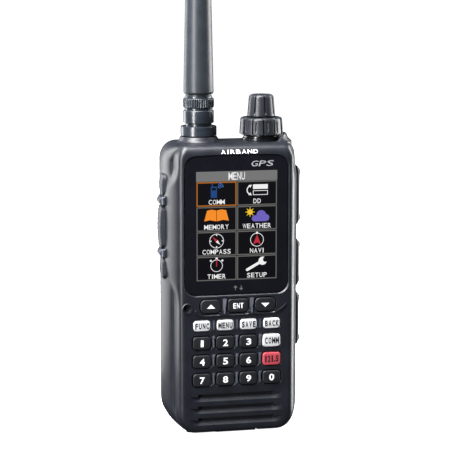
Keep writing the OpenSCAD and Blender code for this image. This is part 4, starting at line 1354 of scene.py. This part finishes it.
class RADIO_OT_knobs(bpy.types.Operator):
    """Builds the fluted dial, the volume knob above it and the ring below"""

    bl_idname = "radio.knobs"
    bl_label = "Knobs"

    def execute(self, context):
        depth = context.scene.radio_knobs.groove
        low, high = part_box("volume_knob")
        axis = (low + high) / 2
        volume = rounded_knob("grip_volume", low.z, high.z, high.x - axis.x, 5.6 * MM, 1.62 * MM,
                              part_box("volume_shaft")[1].z, 1.5 * MM, axis, 320)
        groove(volume, axis, 8, 5, 0.42 * MM, depth * 1.5, low.z + 1.0 * MM, None)
        dress(volume, MATERIALS["knob_plastic"], "volume", ["volume_knob"], angle=40)
        low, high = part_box("dial_knob")
        dial = self.dial(low, high, axis)
        groove(dial, axis, 12, 25.3, 0.5 * MM, depth * 1.6, low.z - 2 * MM, high.z + 1 * MM)
        groove(dial, axis, 12, 34.0, 0.34 * MM, depth * 0.6, low.z + 1.2 * MM, high.z - 1.6 * MM)
        dress(dial, MATERIALS["knob_plastic"], "dial", ["dial_knob"], angle=40)
        low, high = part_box("knob_collar")
        r = high.x - axis.x
        bore = 4.52 * MM
        collar = turned("ring_under_dial", ((high.z, bore), (low.z, bore), (low.z, r - 0.1 * MM),
                                            (low.z + 0.5 * MM, r), (low.z + 0.9 * MM, r - 0.1 * MM),
                                            (low.z + 1.2 * MM, r - 0.55 * MM),
                                            (high.z - 0.5 * MM, r - 0.6 * MM),
                                            (high.z - 0.1 * MM, r - 0.75 * MM), (high.z, r - 1.1 * MM)),
                        at=(axis.x, axis.y), sides=128)
        open_bore(collar)
        dress(collar, MATERIALS["knob_gloss"], "radio", ["knob_collar"], angle=40)
        return {"FINISHED"}

    def dial(self, low, high, axis):
        foot_r, top_r = high.x - axis.x, high.x - axis.x - 0.4 * MM
        bore = 3.02 * MM
        recess = 5.0 * MM
        profile = [(high.z - 0.05 * MM, bore), (low.z + 1.4 * MM, bore), (low.z + 1.4 * MM, recess),
                   (low.z, recess), (low.z, foot_r - 0.3 * MM), (low.z + 0.25 * MM, foot_r)]
        walls = 14
        for k in range(1, walls + 1):
            profile.append((low.z + 0.25 * MM + (high.z - low.z - 1.35 * MM) * k / walls,
                            foot_r + (top_r - foot_r) * k / walls))
        for d in (20, 40, 60, 80):
            a = math.radians(d)
            profile.append((high.z - 1.1 * MM + 1.05 * MM * math.sin(a),
                            top_r - 1.2 * MM * (1 - math.cos(a))))
        profile += [(high.z, top_r - 1.6 * MM), (high.z, 6.9 * MM), (high.z - 0.05 * MM, 6.6 * MM)]
        dial = turned("grip_dial", profile, at=(axis.x, axis.y), sides=360)
        open_bore(dial)
        return dial


def open_bore(obj):
    """Opens a turned ring through its middle: drops both end caps and joins their rims."""
    edit(obj)
    pick(obj, "FACE", lambda f: len(f.verts) > 8)
    bpy.ops.mesh.delete(type="ONLY_FACE")
    pick(obj, "EDGE", lambda e: e.is_boundary)
    bpy.ops.mesh.bridge_edge_loops()
    leave_edit()
    return outwards(obj)


# ---- Antenna ----

SLEEVE_RIBS = 40


class RADIO_OT_antenna(bpy.types.Operator):
    """Builds the collar, the knurled sleeve and the tapering whip"""

    bl_idname = "radio.antenna"
    bl_label = "Antenna"

    def execute(self, context):
        low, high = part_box("antenna_collar")
        axis = (low + high) / 2
        place = (axis.x, axis.y)
        r = high.x - axis.x
        collar = turned("collar", ((low.z + 0.02 * MM, 5.9 * MM), (low.z, r - 0.2 * MM),
                                   (low.z + 0.2 * MM, r), (high.z - 0.45 * MM, r),
                                   (high.z - 0.15 * MM, r - 0.12 * MM), (high.z, r - 0.4 * MM),
                                   (high.z, 5.85 * MM)), at=place, sides=128)
        open_bore(collar)
        dress(collar, MATERIALS["antenna_plastic"], "antenna", ["antenna_collar"],
              angle=40)
        self.sleeve(place)
        self.whip(place)
        return {"FINISHED"}

    def sleeve(self, place):
        low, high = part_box("antenna_sleeve")
        collar_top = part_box("antenna_collar")[1].z
        bore = 3.16 * MM
        body, neck = 6.8 * MM, 5.8 * MM
        knurl_low = high.z - 5.0 * MM
        bore_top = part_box("antenna_connector")[1].z + 0.5 * MM
        profile = [(bore_top, bore), (low.z, bore), (low.z, neck), (collar_top + 1.15 * MM, neck),
                   (collar_top + 1.35 * MM, body - 0.25 * MM), (collar_top + 1.6 * MM, body),
                   (collar_top + 6.6 * MM, body), (collar_top + 6.9 * MM, body - 0.15 * MM),
                   (collar_top + 7.2 * MM, body - 0.6 * MM), (knurl_low - 0.3 * MM, body - 0.6 * MM),
                   (knurl_low - 0.1 * MM, body - 0.2 * MM), (knurl_low + 0.1 * MM, body)]
        profile += [(knurl_low + 0.1 * MM + 3.8 * MM * k / 12, body) for k in range(1, 13)]
        profile += [(knurl_low + 4.1 * MM, body - 0.2 * MM), (knurl_low + 4.3 * MM, body - 0.7 * MM),
                    (high.z, body - 0.8 * MM)]
        sleeve = turned("sleeve", profile, at=place, sides=288)
        for vertex in sleeve.data.vertices:
            offset = Vector((vertex.co.x - place[0], vertex.co.y - place[1]))
            inside = smoothstep(knurl_low, knurl_low + 0.5 * MM, vertex.co.z)
            inside *= 1 - smoothstep(knurl_low + 3.5 * MM, knurl_low + 4.0 * MM, vertex.co.z)
            if inside and offset.length > neck:
                rib = 0.5 + 0.5 * math.cos(math.atan2(offset.y, offset.x) * SLEEVE_RIBS)
                scale = 1 + (0.15 * MM - 0.45 * MM * (1 - rib ** 0.5)) * inside / offset.length
                vertex.co.x = place[0] + offset.x * scale
                vertex.co.y = place[1] + offset.y * scale
        dress(sleeve, MATERIALS["antenna_plastic"], "antenna", ["antenna_sleeve"],
              angle=50)

    def whip(self, place):
        low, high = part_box("antenna_whip")
        foot_z = low.z + 1.2 * MM
        foot_r, tip_r = high.x - place[0], 3.7 * MM
        profile = [(low.z, 5.75 * MM), (foot_z - 0.3 * MM, 5.75 * MM),
                   (foot_z - 0.1 * MM, foot_r - 0.35 * MM), (foot_z + 0.3 * MM, foot_r - 0.05 * MM)]
        length_up = high.z - tip_r - foot_z
        profile += [(foot_z + 0.8 * MM + (length_up - 0.8 * MM) * k / 24,
                     foot_r + (tip_r - foot_r) * k / 24) for k in range(25)]
        profile += [(high.z - tip_r + tip_r * math.sin(a), tip_r * math.cos(a))
                    for a in (math.radians(d) for d in (15, 30, 45, 60, 75, 88))]
        whip = turned("whip", profile, at=place, sides=128)
        dress(whip, MATERIALS["antenna_rubber"], "antenna", ["antenna_whip"], angle=40)


# ---- Rear chassis, battery and latch ----

SCREW_HEAD_R = 1.85 * MM
SCREW_SEAT_R = 1.95 * MM
CLIP_HOLE_R = 1.25 * MM
CLIP_HOLE_X = 7.5 * MM
CLIP_DROP = 16 * MM
HOOK_X = 16 * MM
CONTACT_PLACES = (-6 * MM, 0, 6 * MM)


class RADIO_OT_rear(bpy.types.Operator):
    """Builds the rear chassis, the battery and its latch"""

    bl_idname = "radio.rear"
    bl_label = "Rear"

    def execute(self, context):
        wall = context.scene.radio_case.wall
        chassis = keep_side(case_body("back_chassis"), (0, SEAM_Y + 0.02 * MM, 0), (0, -1, 0))
        bay = box_piece("bay", (-0.1, PLATE_BACK_Y, -0.01), (0.1, 0.1, BATTERY_TOP_Z + 0.4 * MM))
        boolean(chassis, [bay])
        inside = case_body("inside", wall)
        boolean(inside, [box_piece("low", (-0.1, -0.1, -0.1), (0.1, 0.1, BATTERY_TOP_Z + 3.4 * MM))])
        boolean(chassis, [inside])
        self.chassis_details(chassis)
        dress(chassis, MATERIALS["chassis_plastic"], "radio", ["rear_chassis"])
        battery = keep_side(case_body("battery_pack"), (0, BATTERY_LOW.y, 0), (0, -1, 0))
        slope = math.radians(10)
        keep_side(battery, (0, BATTERY_LOW.y, BATTERY_TOP_Z), (0, math.sin(slope), math.cos(slope)))
        self.battery_details(battery)
        dress(battery, MATERIALS["chassis_plastic"], "battery", ["battery_case"])
        self.latch()
        return {"FINISHED"}

    def chassis_details(self, chassis):
        for side in (-1, 1):
            hole = turned("hole", ((BACK_Y - 5 * MM, CLIP_HOLE_R), (BACK_Y + 1 * MM, CLIP_HOLE_R)),
                          at=(side * CLIP_HOLE_X, 0), facing="back", up=DECK_Z - CLIP_DROP, sides=32)
            boolean(chassis, [hole])
        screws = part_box("case_screws")
        for side in (-1, 1):
            for z in (screws[0].z + SCREW_HEAD_R, screws[1].z - SCREW_HEAD_R):
                seat = turned("seat", ((PLATE_BACK_Y - 1.1 * MM, SCREW_SEAT_R),
                                       (PLATE_BACK_Y + 1 * MM, SCREW_SEAT_R)),
                              at=(side * (screws[1].x - SCREW_HEAD_R), 0), facing="back", up=z, sides=40)
                boolean(chassis, [seat])
        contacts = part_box("radio_contacts")
        middle_z = (contacts[0].z + contacts[1].z) / 2
        for x in CONTACT_PLACES:
            boolean(chassis, [box_piece("slot", (x - 1.7 * MM, SEAM_Y - 1 * MM, middle_z - 2.5 * MM),
                                        (x + 1.7 * MM, PLATE_BACK_Y + 1 * MM, middle_z + 2.5 * MM))])
        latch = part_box("battery_latch")
        boolean(chassis, [box_piece("channel", (latch[0].x - 0.3 * MM, SEAM_Y - 1 * MM, -1 * MM),
                                    (latch[1].x + 0.3 * MM, PLATE_BACK_Y + 1 * MM, latch[1].z + 0.3 * MM))])
        for side in (-1, 1):
            x = side * HOOK_X
            boolean(chassis, [box_piece("pocket", (x - 3.3 * MM, PLATE_BACK_Y - 0.2 * MM,
                                                   BATTERY_TOP_Z - 1 * MM),
                                        (x + 3.3 * MM, PLATE_BACK_Y + 3.3 * MM, BATTERY_TOP_Z + 2.3 * MM))])
        mount = pile("mount", (30 * MM, 11 * MM), 2 * MM, ((-0.5 * MM, 0), (0.5 * MM, 0)), facing="back",
                     at=(0, BACK_Y, DECK_Z - CLIP_DROP))
        boolean(chassis, [mount])

    def battery_details(self, battery):
        panel = pile("panel", (40 * MM, 52 * MM), 3 * MM, in_mm((-0.45, 0), (0.5, 0.6)), facing="back",
                     at=(0, BACK_Y, BASE_Z + 44 * MM), segments=8)
        boolean(battery, [panel])
        for i in range(5):
            rib = pile("rib", (34 * MM, 1.1 * MM), 0.5 * MM, in_mm((-0.8, 0), (0.6, 0.35)),
                       facing="back", at=(0, BACK_Y, BASE_Z + 80 * MM + i * 2.6 * MM))
            boolean(battery, [rib])
        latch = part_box("battery_latch")
        boolean(battery, [box_piece("channel", (latch[0].x - 0.6 * MM, 0, -1 * MM),
                                    (latch[1].x + 0.6 * MM, latch[1].y + 0.6 * MM, latch[1].z + 0.5 * MM))])
        parts = []
        for side in (-1, 1):
            x = side * HOOK_X
            parts.append(box_piece("hook", (x - 3 * MM, BATTERY_LOW.y + 0.35 * MM, BATTERY_TOP_Z - 2 * MM),
                                   (x + 3 * MM, BATTERY_LOW.y + 2.5 * MM, BATTERY_TOP_Z + 1.4 * MM)))
            parts.append(turned("foot", in_mm((0, 1.2), (0.25, 1.6), (1.6, 1.6)),
                                at=(side * FOOT_X, BATTERY_LOW.y + 7 * MM), sides=32))
        boolean(battery, parts, "UNION")
        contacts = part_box("battery_contacts")
        middle_z = (contacts[0].z + contacts[1].z) / 2
        for x in CONTACT_PLACES:
            boolean(battery, [box_piece("pocket", (x - 2 * MM, SEAM_Y, middle_z - 3 * MM),
                                        (x + 2 * MM, BATTERY_LOW.y + 0.6 * MM, middle_z + 3 * MM))])

    def latch(self):
        low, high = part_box("battery_latch")
        length_y = high.y - 3.4 * MM - low.y
        middle = low.y + length_y / 2
        thickness = 1.3 * MM
        latch = pile("slide_latch", (high.x - low.x, length_y), 0.8 * MM,
                     ((0, 0), (thickness - 0.3 * MM, 0), (thickness - 0.08 * MM, -0.1 * MM),
                      (thickness, -0.3 * MM)), facing="bottom", at=(0, middle, high.z))
        tongue = box_piece("tongue", (-5.5 * MM, high.y - 4 * MM, low.z + 0.5 * MM),
                           (5.5 * MM, high.y, high.z))
        parts = [tongue]
        for i in range(3):
            y = low.y + 1.5 * MM + i * 1.6 * MM
            parts.append(pile("rib", (14 * MM, 0.7 * MM), 0.2 * MM,
                              ((-0.1 * MM, 0), (0.15 * MM, 0), (0.3 * MM, -0.15 * MM)), facing="bottom",
                              at=(0, y + 0.35 * MM, low.z + 0.3 * MM)))
        for part in parts:
            boolean(latch, [part], "UNION")
        dress(latch, MATERIALS["latch_plastic"], "latch", ["battery_latch"])


# ---- Finishes of the nodes that stay as they are ----

NODE_FINISH = {
    "case_seal": "black_rubber", "case_screws": "steel", "lcd_module": "display_panel",
    "keypad_mat": "mat_rubber", "main_board": "circuit_board", "shield_cans": "tinned_steel",
    "gps_antenna": "ceramic", "speaker": "speaker_frame", "speaker_mesh": "speaker_mesh",
    "microphone": "black_rubber", "side_switches": "switch_plastic", "mic_jack": "jack_plastic",
    "data_jack": "tinned_steel", "power_jack": "jack_plastic", "encoder_body": "tinned_steel",
    "antenna_connector": "contact_gold", "radio_contacts": "contact_gold", "dial_shaft": "steel",
    "volume_shaft": "steel", "antenna_seal": "black_rubber", "antenna_pin": "contact_gold",
    "battery_cells": "cell_wrap", "battery_contacts": "contact_gold",
}


class RADIO_OT_inner_parts(bpy.types.Operator):
    """Gives the pieces that stay as they are their finishes"""

    bl_idname = "radio.inner_parts"
    bl_label = "Inner parts"

    def execute(self, context):
        for node, slot in NODE_FINISH.items():
            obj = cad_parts[node]
            obj.data.materials.clear()
            obj.data.materials.append(MATERIALS[slot])
        return {"FINISHED"}


# ---- Stage ----

def soft_box(name, place, target, size, power):
    """A soft box that looks at a point."""
    bpy.ops.object.light_add(type="AREA", location=place)
    light = bpy.context.object
    light.name = name
    light.data.shape = "RECTANGLE"
    light.data.size, light.data.size_y = size
    light.data.energy = power
    light.visible_camera = False
    light.rotation_euler = (Vector(target) - Vector(place)).to_track_quat("-Z", "Y").to_euler()


CAMERA_PLACE = (-0.1589, -0.7395, 0.214)
CAMERA_DOWN = 9.18521
CAMERA_TURN = -12.0764
CAMERA_LENS = 133.83
RADIO_MIDDLE = (0, 0, 0.09)
# name, place, the point it looks at, size, and the setting that holds its power
LIGHTS = (("key_box", (-0.58, -0.50, 0.33), RADIO_MIDDLE, (0.16, 0.95), "key_light"),
          ("right_box", (0.74, 0.17, 0.20), RADIO_MIDDLE, (0.5, 0.9), "side_light"),
          ("top_box", (-0.20, -0.14, 0.66), (0, 0, 0.1), (0.4, 0.6), "top_light"),
          ("table_glow", (-0.35, 0.50, 0.0), (-0.35, 0.50, 1.0), (0.9, 0.8), "table_light"),
          ("rear_box", (-0.62, 0.72, 0.30), RADIO_MIDDLE, (0.5, 0.8), "rear_light"))


class RADIO_OT_stage(bpy.types.Operator):
    """Sets the camera, the pale floor and the soft studio light"""

    bl_idname = "radio.stage"
    bl_label = "Stage"

    def execute(self, context):
        scene = context.scene
        settings = scene.radio_stage
        bpy.ops.object.camera_add(location=CAMERA_PLACE,
                                  rotation=(math.radians(90 - CAMERA_DOWN), 0, math.radians(CAMERA_TURN)))
        camera = context.object
        camera.data.sensor_width = 36
        camera.data.lens = CAMERA_LENS
        scene.camera = camera
        bpy.ops.mesh.primitive_plane_add(size=40)
        floor = new_piece("floor")
        material, nodes, links, shader = new_material("studio_floor")
        cloud = noise(nodes, links, 3, 2.0)
        pale = tuple(settings.floor)
        shade = tuple(c * 0.98 for c in pale)
        links.new(ramp(nodes, links, cloud.outputs["Fac"], ((0.3, shade), (0.7, pale))),
                  shader.inputs["Base Color"])
        shader.inputs["Roughness"].default_value = 0.8
        shader.inputs["Specular IOR Level"].default_value = 0.0
        shader.inputs["Emission Color"].default_value = (1, 1, 1, 1)
        shader.inputs["Emission Strength"].default_value = 0.95
        floor.data.materials.append(material)
        floor.visible_diffuse = floor.visible_glossy = False
        for name, place, target, size, power in LIGHTS:
            soft_box(name, place, target, size, getattr(settings, power))
        world = bpy.data.worlds.new("studio")
        world.use_nodes = True
        world.node_tree.nodes["Background"].inputs["Color"].default_value = (0.85, 0.92, 1.0, 1)
        world.node_tree.nodes["Background"].inputs["Strength"].default_value = 0.08
        scene.world = world
        scene.view_settings.view_transform = "Standard"
        scene.view_settings.gamma = 0.88
        return {"FINISHED"}


# ---- Panel, registration and the build ----

class RADIO_PT_build(bpy.types.Panel):
    bl_label = "Airband radio"
    bl_idname = "RADIO_PT_build"
    bl_space_type = "VIEW_3D"
    bl_region_type = "UI"
    bl_category = "Radio"

    def draw(self, context):
        for operator in OPERATORS:
            self.layout.operator(operator.bl_idname)
        for name, group in SETTINGS.items():
            box = self.layout.box()
            for key in group.__annotations__:
                box.prop(getattr(context.scene, name), key)


OPERATORS = (RADIO_OT_stage, RADIO_OT_front_shell, RADIO_OT_display, RADIO_OT_keypad, RADIO_OT_side_keys,
             RADIO_OT_jack_covers, RADIO_OT_knobs, RADIO_OT_antenna, RADIO_OT_rear, RADIO_OT_inner_parts)


def register():
    for group in SETTINGS.values():
        bpy.utils.register_class(group)
    for name, group in SETTINGS.items():
        setattr(bpy.types.Scene, name, PointerProperty(type=group))
    for cls in (*OPERATORS, RADIO_PT_build):
        bpy.utils.register_class(cls)


def unregister():
    for cls in (RADIO_PT_build, *reversed(OPERATORS)):
        bpy.utils.unregister_class(cls)
    for name, group in SETTINGS.items():
        delattr(bpy.types.Scene, name)
        bpy.utils.unregister_class(group)


def main():
    register()
    make_materials()
    for operator in OPERATORS:
        area, name = operator.bl_idname.split(".")
        getattr(getattr(bpy.ops, area), name)()


if __name__ == "__main__":
    main()
